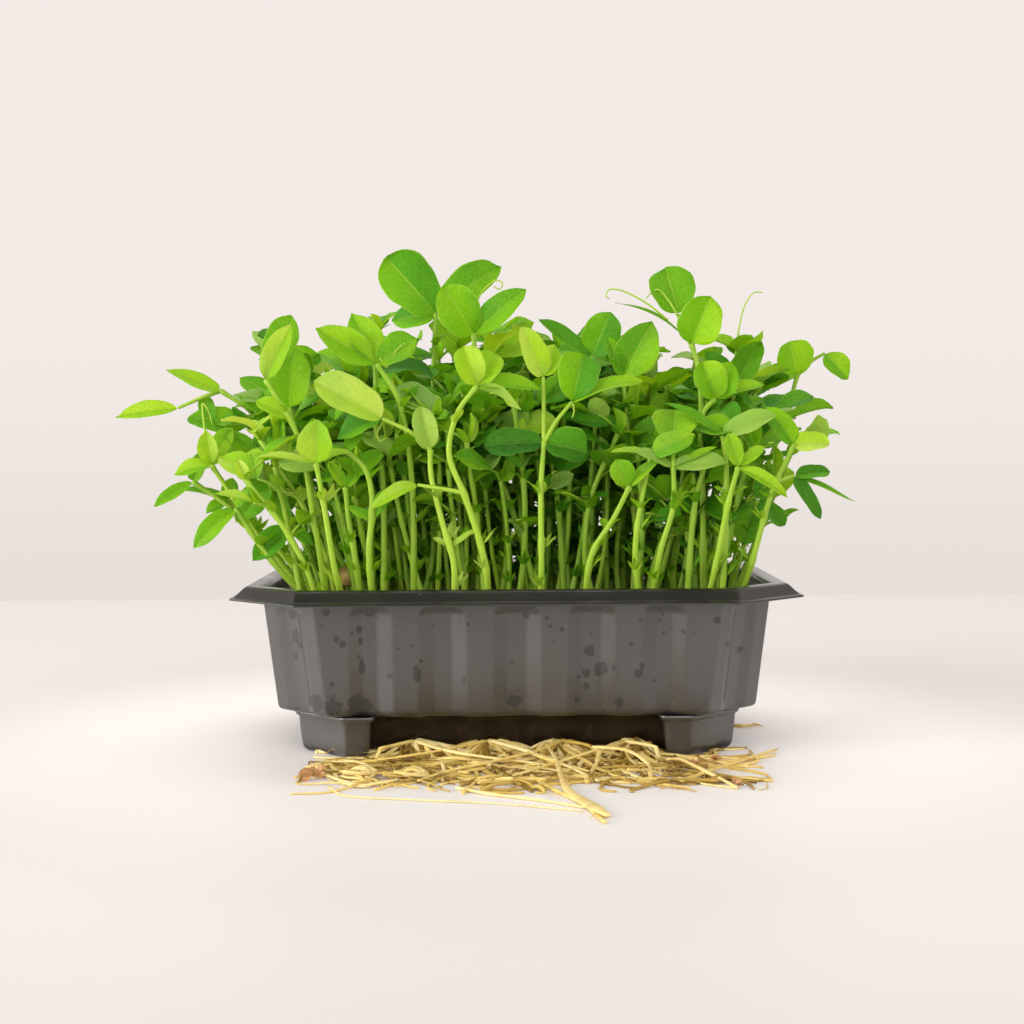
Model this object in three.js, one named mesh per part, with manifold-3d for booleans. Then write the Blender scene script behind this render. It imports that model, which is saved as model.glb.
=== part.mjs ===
// A supermarket tray of pea shoot microgreens: a thin black plastic tray with a fluted
// eight-sided wall and four corner feet, the root mat that fills it, a few pea seeds, the
// shoots that stand in the mat, and the roots that leave by the drain notches.
// Millimetres, +Z up, -Y is the front. The tray stands on z = 0.

import * as THREE from 'three';
import { mergeVertices } from 'three/addons/utils/BufferGeometryUtils.js';
import Module from 'manifold-3d';

const wasm = await Module();
wasm.setup();

// ---- driving dimensions ------------------------------------------------------------

const TRAY_LENGTH = 187;
const TRAY_WIDTH = 137;
const TRAY_HEIGHT = 55.5;
const CORNER_CHAMFER = 24;
const RIM_RUN = 5.2;
const SHEET = 0.8;

const FLUTE_PITCH = 23.8;
const FLUTE_DEPTH = 2.4;
const PROUD_HALF = 3.9;
const FACET = 5.3;
const LAST_RIB = 54.3;
const CORNER_FLUTE_HALF = 2.5;
const CORNER_FACET = 4;

const WALL_FOOT_HEIGHT = 13.6;
const MAT_TOP = 44.1;
const GAP = 0.35;

const NOTCH_WIDTH = 7.2;
const NOTCH_HEIGHT = 5;
const NOTCH_PITCH = 23.3;
const NOTCH_SHIFT = 2.4;

const STEM_RADIUS = 1.3;
const STEM_SIDES = 6;
const PETIOLE_RADIUS = 0.75;
const LEAF_THICKNESS = 0.5;
const LEAF_FOLD = 0.22;
const LEAF_SAG = 0.1;
const ROOT_RADIUS = 0.8;
const PEA_RADIUS = 3.9;

// ---- meshes and solids -------------------------------------------------------------

function toSolid(geometry) {
  geometry.deleteAttribute('normal');
  geometry.deleteAttribute('uv');
  const merged = mergeVertices(geometry, 1e-4);
  return new wasm.Manifold(new wasm.Mesh({
    numProp: 3,
    vertProperties: new Float32Array(merged.attributes.position.array),
    triVerts: new Uint32Array(merged.index.array),
  }));
}

function toGeometry(solid) {
  const mesh = solid.getMesh();
  const geometry = new THREE.BufferGeometry();
  geometry.setAttribute('position', new THREE.BufferAttribute(mesh.vertProperties, 3));
  geometry.setIndex(new THREE.BufferAttribute(mesh.triVerts, 1));
  geometry.computeVertexNormals();
  return geometry;
}

// Skins a stack of rings, bottom one first, each with the same number of points going
// anticlockwise seen from above, and closes both ends with a fan.
function loft(rings) {
  const positions = rings.flat().flatMap((point) => point.toArray());
  const count = rings[0].length;
  const index = [];
  for (let row = 0; row + 1 < rings.length; row += 1) {
    for (let i = 0; i < count; i += 1) {
      const next = (i + 1) % count;
      const [a, b] = [row * count + i, row * count + next];
      index.push(a, b, b + count, a, b + count, a + count);
    }
  }
  const closeEnd = (ring, start, flip) => {
    const middle = positions.length / 3;
    const centre = ring.reduce((sum, point) => sum.add(point), new THREE.Vector3());
    positions.push(...centre.divideScalar(count).toArray());
    for (let i = 0; i < count; i += 1) {
      const [a, b] = [start + i, start + ((i + 1) % count)];
      index.push(...(flip ? [middle, b, a] : [middle, a, b]));
    }
  };
  closeEnd(rings[0], 0, true);
  closeEnd(rings[rings.length - 1], (rings.length - 1) * count, false);
  const geometry = new THREE.BufferGeometry();
  geometry.setAttribute('position', new THREE.Float32BufferAttribute(positions, 3));
  geometry.setIndex(index);
  return geometry;
}

// A round bar along a smooth curve through the given points.
function bar(points, radius, sides, steps) {
  const section = new THREE.Shape();
  for (let i = 0; i < sides; i += 1) {
    const angle = (2 * Math.PI * i) / sides;
    const place = [radius * Math.cos(angle), radius * Math.sin(angle)];
    if (i === 0) section.moveTo(...place);
    else section.lineTo(...place);
  }
  section.closePath();
  const path = new THREE.CatmullRomCurve3(points.map((p) => new THREE.Vector3(...p)));
  return new THREE.ExtrudeGeometry(section, { steps, extrudePath: path });
}

// ---- the tray ----------------------------------------------------------------------

// Stations along one face, from its middle outwards: [distance, 1 if set back or 0 if proud].
function fluteStations(proudCentres, lastInner) {
  const right = [[FLUTE_PITCH / 2 - PROUD_HALF - FACET, 1]];
  for (const centre of proudCentres) {
    right.push([centre - PROUD_HALF, 0], [centre + PROUD_HALF, 0], [centre + PROUD_HALF + FACET, 1]);
    right.push([Math.min(centre + FLUTE_PITCH - PROUD_HALF, lastInner) - FACET, 1]);
  }
  right.push([lastInner, 0]);
  const left = right.map(([distance, back]) => [-distance, back]).reverse();
  return [...left, ...right];
}

const LONG_STATIONS = fluteStations([FLUTE_PITCH * 0.5, FLUTE_PITCH * 1.5], LAST_RIB);
const SHORT_STATIONS = fluteStations([FLUTE_PITCH * 0.5], FLUTE_PITCH * 1.5 - PROUD_HALF);
const CORNER_STATIONS = [
  [-CORNER_FLUTE_HALF - CORNER_FACET, 0],
  [-CORNER_FLUTE_HALF, 1],
  [CORNER_FLUTE_HALF, 1],
  [CORNER_FLUTE_HALF + CORNER_FACET, 0],
];

// The eight faces of the plan, anticlockwise from the front, as unit outward directions.
const DIAGONAL = Math.SQRT1_2;
const FACES = [
  { outward: [0, -1], stations: LONG_STATIONS },
  { outward: [DIAGONAL, -DIAGONAL], stations: CORNER_STATIONS },
  { outward: [1, 0], stations: SHORT_STATIONS },
  { outward: [DIAGONAL, DIAGONAL], stations: CORNER_STATIONS },
  { outward: [0, 1], stations: LONG_STATIONS },
  { outward: [-DIAGONAL, DIAGONAL], stations: CORNER_STATIONS },
  { outward: [-1, 0], stations: SHORT_STATIONS },
  { outward: [-DIAGONAL, -DIAGONAL], stations: CORNER_STATIONS },
];

// One ring round the tray: inset is measured in from the lip, depth is the flutes' depth.
// The corner faces narrow quickly over the rim's run and hardly at all down the wall.
function trayRing(height, inset, depth) {
  const halfX = TRAY_LENGTH / 2 - inset;
  const halfY = TRAY_WIDTH / 2 - inset;
  const chamfer = CORNER_CHAMFER - Math.min(inset, RIM_RUN) - 0.12 * Math.max(inset - RIM_RUN, 0);
  const points = [];
  for (const { outward: [outX, outY], stations } of FACES) {
    const slanted = outX * outY !== 0;
    const out = new THREE.Vector3(outX, outY, 0);
    const along = new THREE.Vector3(-outY, outX, 0);
    const middle = slanted
      ? new THREE.Vector3(Math.sign(outX), Math.sign(outY), 0)
      : new THREE.Vector3(outX, outY, 0);
    const cut = slanted ? chamfer / 2 : 0;
    middle.multiply(new THREE.Vector3(halfX - cut, halfY - cut, 0));
    const side = Math.abs(outX * halfY) + Math.abs(outY * halfX);
    const half = slanted ? chamfer * DIAGONAL : side - chamfer;
    for (const [distance, back] of [[-half, 0], ...stations]) {
      const point = middle.clone().addScaledVector(along, distance);
      points.push(point.addScaledVector(out, -back * depth).setZ(height));
    }
  }
  return points;
}

// The wall and rim as one folded sheet: up the outside, over the rim, down the inside.
function trayTub() {
  const outside = [
    [WALL_FOOT_HEIGHT, 15.8, FLUTE_DEPTH],
    [WALL_FOOT_HEIGHT + 1.5, 14.3, FLUTE_DEPTH],
    [46.4, 10.8, FLUTE_DEPTH],
    [48.8, 10.5, 0],
    [TRAY_HEIGHT - SHEET, 9.8, 0],
    [TRAY_HEIGHT - SHEET, 6.1, 0],
    [50.9, 2.0, 0],
    [50.9, 0, 0],
  ];
  const inside = [
    [51.6, 0, 0],
    [51.7, 1.4, 0],
    [54.6, 4.2, 0],
    [TRAY_HEIGHT, 5.6, 0],
    [TRAY_HEIGHT, 9.0, 0],
    [49.2, 11.3, 0],
    [46.4, 11.6, FLUTE_DEPTH],
    [WALL_FOOT_HEIGHT + 1.8, 15.1, FLUTE_DEPTH],
    [WALL_FOOT_HEIGHT + SHEET, 16.4, FLUTE_DEPTH],
  ];
  return toSolid(loft([...outside, ...inside].map((row) => trayRing(...row))));
}

// A level outline with every side moved inwards by the inset; corners go anticlockwise.
function insetRing(corners, height, inset) {
  const points = corners.map(([x, y]) => new THREE.Vector2(x, y));
  const inwards = points.map((point, i) => {
    const side = points[(i + 1) % points.length].clone().sub(point).normalize();
    return new THREE.Vector2(-side.y, side.x);
  });
  return points.map((point, i) => {
    const before = inwards[(i + points.length - 1) % points.length];
    const after = inwards[i];
    const move = before.clone().add(after).divideScalar(1 + before.dot(after));
    return new THREE.Vector3(point.x + move.x * inset, point.y + move.y * inset, height);
  });
}

// A box with rounded lower edges, its corners listed anticlockwise.
function taperedBlock(corners, floor, top, inset) {
  const rows = [[floor, 3.4], [floor + 0.7, 1.9], [floor + 2.3, 1.1], [top, 0]];
  return toSolid(loft(rows.map(([height, draft]) => insetRing(corners, height, draft + inset))));
}

const BASE_HALF_X = 64;
const BASE_HALF_Y = 45.4;
const BASE_CUT = 5;
const BASE_CORNERS = [
  [-BASE_HALF_X + BASE_CUT, -BASE_HALF_Y],
  [BASE_HALF_X - BASE_CUT, -BASE_HALF_Y],
  [BASE_HALF_X, -BASE_HALF_Y + BASE_CUT],
  [BASE_HALF_X, BASE_HALF_Y - BASE_CUT],
  [BASE_HALF_X - BASE_CUT, BASE_HALF_Y],
  [-BASE_HALF_X + BASE_CUT, BASE_HALF_Y],
  [-BASE_HALF_X, BASE_HALF_Y - BASE_CUT],
  [-BASE_HALF_X, -BASE_HALF_Y + BASE_CUT],
];

const FOOT = { inner: 47, outer: 72.5, front: 52.6, back: 27.5, cut: 16.5 };
const BASE_LIFT = 1.8;

function footCorners(signX, signY) {
  const corners = [
    [FOOT.inner, -FOOT.front],
    [FOOT.outer - FOOT.cut, -FOOT.front],
    [FOOT.outer, -FOOT.front + FOOT.cut],
    [FOOT.outer, -FOOT.back],
    [FOOT.inner, -FOOT.back],
  ].map(([x, y]) => [x * signX, -y * signY]);
  return signX * signY < 0 ? corners : corners.reverse();
}

// The base box and the four feet below the wall.
function lowerBody(inset, lift, top) {
  let body = taperedBlock(BASE_CORNERS, BASE_LIFT + lift, top, inset);
  for (const signX of [-1, 1]) {
    for (const signY of [-1, 1]) {
      body = body.add(taperedBlock(footCorners(signX, signY), lift, top, inset));
    }
  }
  return body;
}

// An arched cutter that opens the base wall and floor, pointing along +Y from the front.
function notchCutter(reach) {
  const arch = new THREE.Shape();
  arch.moveTo(-NOTCH_WIDTH / 2, -2);
  arch.lineTo(NOTCH_WIDTH / 2, -2);
  arch.lineTo(NOTCH_WIDTH / 2, NOTCH_HEIGHT / 2);
  arch.quadraticCurveTo(NOTCH_WIDTH / 2, NOTCH_HEIGHT, 0, NOTCH_HEIGHT);
  arch.quadraticCurveTo(-NOTCH_WIDTH / 2, NOTCH_HEIGHT, -NOTCH_WIDTH / 2, NOTCH_HEIGHT / 2);
  const cutter = new THREE.ExtrudeGeometry(arch, { depth: 9, bevelEnabled: false, curveSegments: 2 });
  cutter.rotateX(Math.PI / 2);
  cutter.translate(0, -reach + 6.5, 0);
  return cutter;
}

const FRONT_NOTCHES = [-1.5, -0.5, 0.5, 1.5].map((step) => NOTCH_SHIFT + step * NOTCH_PITCH);
const SIDE_NOTCHES = [-0.5, 0.5].map((step) => step * NOTCH_PITCH);

function makeTray() {
  let tray = trayTub().add(lowerBody(0, 0, WALL_FOOT_HEIGHT + 0.4));
  tray = tray.subtract(lowerBody(SHEET, SHEET, WALL_FOOT_HEIGHT + 1.2));
  for (const turn of [0, Math.PI]) {
    for (const x of FRONT_NOTCHES) {
      tray = tray.subtract(toSolid(notchCutter(BASE_HALF_Y).translate(x, 0, 0).rotateZ(turn)));
    }
    for (const y of SIDE_NOTCHES) {
      const cutter = notchCutter(BASE_HALF_X).translate(y, 0, 0);
      tray = tray.subtract(toSolid(cutter.rotateZ(turn + Math.PI / 2)));
    }
  }
  return tray;
}

// ---- root mat, seeds and roots -----------------------------------------------------

// The mat fills the base box and the wall above it, a little clear of the plastic.
function makeMat() {
  const clear = SHEET + GAP;
  const bed = loft([
    trayRing(WALL_FOOT_HEIGHT + SHEET + GAP, 14.8 + FLUTE_DEPTH + clear, 0),
    trayRing(MAT_TOP - 3, 11.5 + FLUTE_DEPTH + clear, 0),
    trayRing(MAT_TOP - 0.8, 12 + FLUTE_DEPTH + clear, 0),
    trayRing(MAT_TOP, 14.4 + FLUTE_DEPTH + clear, 0),
  ]);
  const block = taperedBlock(BASE_CORNERS, BASE_LIFT + NOTCH_HEIGHT, WALL_FOOT_HEIGHT + 2, clear + 2.4);
  return toSolid(bed).add(block);
}

// Seeds lie on the mat: x, y and how far one is turned.
const SEEDS = [
  [34, -46, 0.3],
  [-22, -36, 1.1],
];

function makeSeed(x, y, turn) {
  const seed = new THREE.SphereGeometry(PEA_RADIUS, 12, 8);
  seed.scale(1, 0.93, 0.9);
  seed.rotateX(turn);
  seed.translate(x, y, MAT_TOP + PEA_RADIUS + GAP);
  return seed;
}

// Each root leaves a notch and then lies on the surface that the tray stands on.
const FLOOR = 0.75 * ROOT_RADIUS;
const ROOTS = [
  [[-33.9, -40, 3.2], [-34.8, -47, 2.8], [-41, -56, 1.8], [-54, -68, FLOOR], [-68, -82, FLOOR]],
  [[-31.2, -40, 3.2], [-31, -48, 2.8], [-33, -60, FLOOR], [-30, -80, FLOOR], [-42, -101, FLOOR]],
  [[-10.6, -40, 3.2], [-11, -48, 3], [-17, -62, FLOOR], [-12, -82, FLOOR], [-16, -106, FLOOR]],
  [[-8, -40, 3.2], [-7, -48, 3], [0, -66, FLOOR], [8, -96, FLOOR], [18, -122, FLOOR], [23, -144, FLOOR]],
  [[14, -40, 3.2], [14.4, -48, 3], [20, -64, 2.2], [30, -84, FLOOR], [50, -102, FLOOR]],
  [[36, -40, 3.2], [36.5, -48, 3], [44, -64, FLOOR], [57, -82, FLOOR], [76, -92, FLOOR]],
  [[38.7, -40, 3.2], [39.8, -47.5, 2.6], [47, -57, FLOOR], [66, -62, FLOOR], [83, -52, FLOOR]],
  [[58, 11.6, 3.2], [66, 11, 2.8], [73, 8, FLOOR], [80, 3, FLOOR], [86, 6, FLOOR]],
];

// A root is flat underneath where it lies.
function makeRoot(points) {
  const root = bar(points, ROOT_RADIUS, 6, 4 * points.length - 4);
  const place = root.attributes.position;
  for (let i = 0; i < place.count; i += 1) {
    place.setZ(i, Math.max(0, place.getZ(i)));
  }
  return root;
}

// ---- shoots ------------------------------------------------------------------------

// stem: points from the mat to the crown. branches: each starts at the crown and ends in
// leaflets given as [reach x, y, z, width, face], where face is how far the blade's upper
// side is tipped from straight up towards the front, in degrees. tone: 0 dark, 1 pale.
const SHOOTS = [
  {
    stem: [[-28, 10], [-29, 10, 88.5], [-29, 10, 124.5], [-28, 10, 147.5]],
    branches: [{ leaflets: [[-18, -3, 20, 17, 78], [22, 4, 16, 12, 75], [-15, 5, -2, 12, 60]] }],
    tone: 0.45,
  },
  {
    stem: [[-3, -16], [-5, -18, 88.5], [-12, -18, 116.5], [-14, -18, 138.5]],
    branches: [{ leaflets: [[-10, -4, 15, 15, 80], [17, -2, 14, 9, 72]] }],
    tone: 0.5,
  },
  {
    stem: [[-34, -38], [-34, -40, 89.5], [-38, -40, 115.5], [-45, -40, 127.5]],
    branches: [{ leaflets: [[-20, -3, 11, 13, 68], [-8, 4, 16, 12, 62], [12, 2, 8, 11, 70]] }],
    tone: 0.6,
  },
  {
    stem: [[-20, -51], [-20, -55, 63.5], [-24, -56, 78.5], [-27, -57, 92.5], [-27, -57, 99.5]],
    branches: [
      { path: [[-32, -58, 104.5], [-42, -59, 109.5]], leaflets: [[-21, -3, 10, 12, 62], [-14, 3, -5, 9, 35]] },
      { leaflets: [[-3, 0, 13, 7, 80]] },
    ],
    tone: 0.95,
  },
  {
    stem: [[-9, -50], [-10, -56, 63.5], [-16, -59, 84.5], [-21, -60, 98.5], [-18, -61, 111.5], [-12, -61, 119.5]],
    branches: [
      { leaflets: [[-5, -2, 11, 9, 78], [9, 2, 9, 8, 70], [19, 3, -1, 5, 25], [13, -4, -7, 5, -30]] },
    ],
    tone: 0.85,
  },
  {
    stem: [[8, -50], [8, -54, 63.5], [8, -54, 87.5], [9, -54, 101.5]],
    branches: [
      { path: [[9, -54, 111.5], [9, -54, 122.5]], leaflets: [[-6, -2, 14, 8, 70], [4, 3, 12, 8, 62]] },
      { path: [[13, -55, 108.5], [18, -55, 114.5]], leaflets: [[5, 2, 14, 12, 78], [21, -1, 6, 6, 35]] },
      { leaflets: [[-18, 4, -2, 9, 50], [12, 4, -4, 9, 50]] },
    ],
    tone: 0.75,
  },
  {
    stem: [[57, -34], [57, -36, 75.5], [61, -37, 109.5], [60, -36, 126.5], [58, -36, 133.5]],
    branches: [
      { leaflets: [[7, -3, 16, 14, 78], [-24, -3, 13, 4, 20]] },
      { path: [[55, -34, 138.5], [54, -33, 143.5]], leaflets: [[-5, 3, 17, 15, 80]] },
    ],
    tone: 0.55,
  },
  {
    stem: [[61, -48], [64, -54, 63.5], [67, -58, 81.5], [70, -60, 93.5]],
    branches: [{ leaflets: [[-3, -1, 10, 6, 70], [8, 0, 6, 5, 40], [14, -4, -9, 5, 55]] }],
    tone: 0.7,
  },
  {
    stem: [[72, -42], [76, -50, 63.5], [82, -52, 85.5], [89, -52, 100.5]],
    branches: [{ leaflets: [[10, -2, 0, 8, 58], [-8, 3, 11, 8, 60]] }],
    tone: 0.65,
  },
  {
    stem: [[43, -48], [46, -54, 66.5], [50, -56, 81.5], [50, -56, 93.5]],
    branches: [{ leaflets: [[15, -2, 6, 6, 25], [-10, -1, 6, 8, 30], [0, 4, 17, 14, 74]] }],
    tone: 0.6,
  },
  {
    stem: [[31, -14], [30, -18, 88.5], [29, -18, 115.5], [26, -18, 130.5]],
    branches: [{ leaflets: [[-17, 0, 12, 6, 60], [6, -2, 14, 13, 78], [-11, 5, 2, 8, 50]] }],
    tone: 0.4,
  },
  {
    stem: [[42, -24], [39, -26, 88.5], [36, -27, 123.5]],
    branches: [{ leaflets: [[9, -3, 17, 14, 80], [-5, -3, 12, 6, 60]] }],
    tone: 0.35,
  },
  {
    stem: [[-62, -38], [-66, -42, 77.5], [-71, -42, 104.5], [-81, -42, 122.5]],
    branches: [{ leaflets: [[8, -3, 17, 8, 76], [4, 4, 19, 9, 70]] }],
    tone: 0.9,
  },
  {
    stem: [[-70, 2], [-76, 5, 75.5], [-84, 6, 97.5], [-93, 6, 112.5], [-104, 6, 120.5]],
    branches: [
      { leaflets: [[-18, -2, 7, 7, 52]] },
      { path: [[-112, 5, 117.5], [-119, 5, 114.5]], leaflets: [[-21, 0, -3, 7, 62]] },
    ],
    tone: 0.8,
  },
  {
    stem: [[-70, -17], [-77, -19, 57.5], [-88, -20, 71.5], [-97, -20, 85.5], [-103, -20, 94.5]],
    branches: [{ leaflets: [[-1, -3, 11, 7, 72], [-12, 0, -3, 7, 45], [6, 5, 12, 7, 78]] }],
    tone: 0.75,
  },
  {
    stem: [[-66, -33], [-76, -36, 57.5], [-85, -38, 69.5], [-92, -38, 80.5]],
    branches: [{ leaflets: [[-13, -2, -12, 7, 58], [6, -2, 6, 5, 50]] }],
    tone: 0.6,
  },
  {
    stem: [[-71, -8], [-78, -7, 59.5], [-90, -6, 71.5], [-103, -6, 82.5], [-112, -6, 88.5]],
    branches: [{ leaflets: [[-13, 0, -8, 5, 58], [4, 2, 10, 6, 72]] }],
    tone: 0.5,
  },
  {
    stem: [[70, 22], [77, 26, 61.5], [92, 30, 89.5], [101, 30, 114.5], [104, 30, 125.5]],
    branches: [
      { leaflets: [[-6, -2, 15, 15, 78]] },
      { path: [[109, 30, 130.5], [114, 30, 133.5]], leaflets: [[8, -1, -9, 9, 70]] },
    ],
    tone: 0.55,
  },
  {
    stem: [[68, 2], [75, 4, 87.5], [77, 4, 120.5]],
    branches: [{ leaflets: [[9, -2, 15, 10, 75], [-9, 2, 12, 8, 70]] }],
    tone: 0.3,
  },
  {
    stem: [[-55, -47], [-58, -54, 61.5], [-61, -58, 83.5], [-63, -59, 95.5]],
    branches: [{ leaflets: [[1, -3, 13, 11, 80], [-18, 0, 2, 5, 25], [10, 1, 3, 5, 30]] }],
    tone: 0.8,
  },
  {
    stem: [[-52, 38], [-54, 42, 89.5], [-60, 46, 125.5]],
    branches: [{ leaflets: [[-14, 6, 10, 12, 20], [9, 8, 12, 11, -40], [1, -10, 12, 10, 45]] }],
    tone: 0.4,
  },
  {
    stem: [[-14, 42], [-12, 45, 93.5], [-6, 47, 135.5]],
    branches: [{ leaflets: [[-15, 4, 8, 12, -20], [13, 7, 11, 12, -50], [2, 14, 4, 9, -35]] }],
    tone: 0.5,
  },
  {
    stem: [[24, 40], [26, 44, 91.5], [30, 48, 127.5]],
    branches: [{ leaflets: [[-12, 7, 10, 12, -45], [15, 5, 9, 12, -20], [2, 13, -3, 9, -25]] }],
    tone: 0.45,
  },
  {
    stem: [[56, 34], [60, 40, 85.5], [68, 46, 113.5]],
    branches: [{ leaflets: [[14, 6, 6, 11, 15], [-7, 9, 13, 12, -45]] }],
    tone: 0.5,
  },
];

// One blade: narrow at both ends, folded up along its midrib and sagging to its tip.
function makeLeaflet(base, reachX, reachY, reachZ, width, face) {
  const reach = new THREE.Vector3(reachX, reachY, reachZ);
  const length = reach.length();
  const blade = new THREE.BoxGeometry(1, 1, LEAF_THICKNESS, 2, 4, 1);
  const place = blade.attributes.position;
  for (let i = 0; i < place.count; i += 1) {
    const along = place.getY(i) + 0.5;
    const outline = Math.max(0.14, Math.sin(Math.PI * along ** 0.9) ** 0.75);
    const side = place.getX(i) * width * outline;
    const lift = LEAF_FOLD * Math.abs(side) - LEAF_SAG * length * along * along;
    place.setXYZ(i, side, along * length, place.getZ(i) + lift);
  }
  const tilt = THREE.MathUtils.degToRad(face);
  const forward = reach.clone().normalize();
  const hint = new THREE.Vector3(0, -Math.sin(tilt), Math.cos(tilt));
  const across = forward.clone().cross(hint).normalize();
  const upper = across.clone().cross(forward);
  blade.applyMatrix4(new THREE.Matrix4().makeBasis(across, forward, upper));
  blade.translate(base.x, base.y, base.z);
  return toSolid(blade);
}

function makeStem(stem) {
  const [[footX, footY], ...rest] = stem;
  const foot = MAT_TOP + GAP;
  const points = [[footX, footY, foot], [footX, footY, foot + 1.5], ...rest];
  return bar(points, STEM_RADIUS, STEM_SIDES, 2 * rest.length + 4);
}

// The crown sits just past the end of the stem and carries every branch and leaflet.
function makeLeaves({ stem, branches }) {
  const end = new THREE.Vector3(...stem[stem.length - 1]);
  const before = new THREE.Vector3(...stem[stem.length - 2]);
  const onward = end.clone().sub(before).normalize();
  const crown = end.clone().addScaledVector(onward, STEM_RADIUS + GAP + 0.4);
  const knob = new THREE.OctahedronGeometry(STEM_RADIUS, 0).translate(crown.x, crown.y, crown.z);
  let leaves = toSolid(knob);
  for (const { path = [], leaflets } of branches) {
    let base = crown;
    if (path.length) {
      leaves = leaves.add(toSolid(bar([crown.toArray(), ...path], PETIOLE_RADIUS, 5, 3)));
      base = new THREE.Vector3(...path[path.length - 1]);
      base.lerp(new THREE.Vector3(...path[path.length - 2]), 0.15);
    }
    for (const leaflet of leaflets) {
      leaves = leaves.add(makeLeaflet(base, ...leaflet));
    }
  }
  return leaves;
}

// ---- the assembly ------------------------------------------------------------------

const assembly = new THREE.Group();

function addPart(name, geometry, color, roughness) {
  const material = new THREE.MeshStandardMaterial({ color, roughness, metalness: 0 });
  const part = new THREE.Mesh(geometry, material);
  part.name = name;
  assembly.add(part);
}

const number = (index) => String(index + 1).padStart(2, '0');

addPart('tray', toGeometry(makeTray()), '#3a3735', 0.35);
addPart('root_mat', toGeometry(makeMat()), '#8f8156', 0.9);

SEEDS.forEach((place, index) => {
  addPart(`seed_${number(index)}`, toGeometry(toSolid(makeSeed(...place))), '#b9974f', 0.6);
});

ROOTS.forEach((points, index) => {
  addPart(`root_${number(index)}`, toGeometry(toSolid(makeRoot(points))), '#e3cd8a', 0.6);
});

SHOOTS.forEach((shoot, index) => {
  const green = new THREE.Color('#3f8a1c').lerp(new THREE.Color('#b4d94c'), shoot.tone);
  addPart(`stem_${number(index)}`, toGeometry(toSolid(makeStem(shoot.stem))), '#a6cf45', 0.5);
  addPart(`leaves_${number(index)}`, toGeometry(makeLeaves(shoot)), green, 0.55);
});

// The origin is the middle of the underside of the whole object.
const reach = new THREE.Box3().setFromObject(assembly);
const centre = reach.getCenter(new THREE.Vector3());
assembly.position.set(-centre.x, -centre.y, -reach.min.z);

export default assembly;
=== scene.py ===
import math

import bpy
import numpy as np
from mathutils import Matrix, Vector


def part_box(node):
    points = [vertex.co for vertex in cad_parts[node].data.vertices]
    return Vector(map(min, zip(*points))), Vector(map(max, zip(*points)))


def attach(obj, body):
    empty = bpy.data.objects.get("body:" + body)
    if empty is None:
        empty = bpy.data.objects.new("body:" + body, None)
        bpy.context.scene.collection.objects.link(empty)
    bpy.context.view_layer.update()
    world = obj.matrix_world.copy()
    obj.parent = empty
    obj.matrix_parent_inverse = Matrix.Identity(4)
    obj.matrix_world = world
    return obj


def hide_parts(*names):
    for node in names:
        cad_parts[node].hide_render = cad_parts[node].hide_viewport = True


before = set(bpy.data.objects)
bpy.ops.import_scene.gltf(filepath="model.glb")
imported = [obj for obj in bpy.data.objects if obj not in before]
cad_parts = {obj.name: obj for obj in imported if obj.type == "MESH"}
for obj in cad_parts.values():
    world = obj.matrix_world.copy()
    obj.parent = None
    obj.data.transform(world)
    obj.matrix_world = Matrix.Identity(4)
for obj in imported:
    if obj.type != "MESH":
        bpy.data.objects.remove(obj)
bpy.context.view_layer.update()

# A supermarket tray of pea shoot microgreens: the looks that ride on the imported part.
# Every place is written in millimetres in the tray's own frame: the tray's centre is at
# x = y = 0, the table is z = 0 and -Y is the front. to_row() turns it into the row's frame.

MILLIMETRE = 0.001

tray_low, tray_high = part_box("tray")
TRAY_CENTRE = np.array([(tray_low.x + tray_high.x) / 2, (tray_low.y + tray_high.y) / 2, 0])


def to_row(points):
    """Tray-frame millimetres as row-frame metres."""
    return np.asarray(points, float) * MILLIMETRE + TRAY_CENTRE


# ---- driving dimensions in millimetres, as in the part -------------------------------

TRAY_LENGTH = 187
TRAY_WIDTH = 137
TRAY_HEIGHT = 55.5
CORNER_CHAMFER = 24
RIM_RUN = 5.2
SHEET = 0.8
FLUTE_PITCH = 23.8
FLUTE_DEPTH = 2.4
PROUD_HALF = 3.9
FACET = 5.3
LAST_RIB = 54.3
WALL_FOOT_HEIGHT = 13.6
MAT_TOP = 44.1
NOTCH_WIDTH = 7.2
NOTCH_HEIGHT = 5.0
NOTCH_PITCH = 23.3
NOTCH_SHIFT = 2.4
PEA_RADIUS = 3.9
STEM_RADIUS = 1.04
PETIOLE_RADIUS = 0.65
ROOT_RADIUS = 0.8
FLOOR = 0.75 * ROOT_RADIUS

# ---- small maths ---------------------------------------------------------------------


def unit(vector):
    vector = np.asarray(vector, float)
    return vector / max(np.linalg.norm(vector), 1e-9)


def soft_step(value, low, high):
    share = np.clip((np.asarray(value, float) - low) / (high - low), 0, 1)
    return share * share * (3 - 2 * share)


def smooth_path(points, steps):
    """A smooth line through the points, with this many stretches between each two."""
    line = np.asarray(points, float)
    line = np.vstack([2 * line[0] - line[1], line, 2 * line[-1] - line[-2]])
    pieces = []
    for a, b, c, d in zip(line, line[1:], line[2:], line[3:]):
        gaps = [max(np.linalg.norm(q - p), 1e-6) ** 0.5 for p, q in ((a, b), (b, c), (c, d))]
        t0, t1, t2, t3 = np.cumsum([0, *gaps])
        s = np.linspace(t1, t2, steps, endpoint=False)[:, None]
        ab = ((t1 - s) * a + (s - t0) * b) / (t1 - t0)
        bc = ((t2 - s) * b + (s - t1) * c) / (t2 - t1)
        cd = ((t3 - s) * c + (s - t2) * d) / (t3 - t2)
        abc = ((t2 - s) * ab + (s - t0) * bc) / (t2 - t0)
        bcd = ((t3 - s) * bc + (s - t1) * cd) / (t3 - t1)
        pieces.append(((t2 - s) * abc + (s - t1) * bcd) / (t2 - t1))
    return np.vstack([*pieces, line[-2:-1]])


# ---- growing meshes ------------------------------------------------------------------


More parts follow.
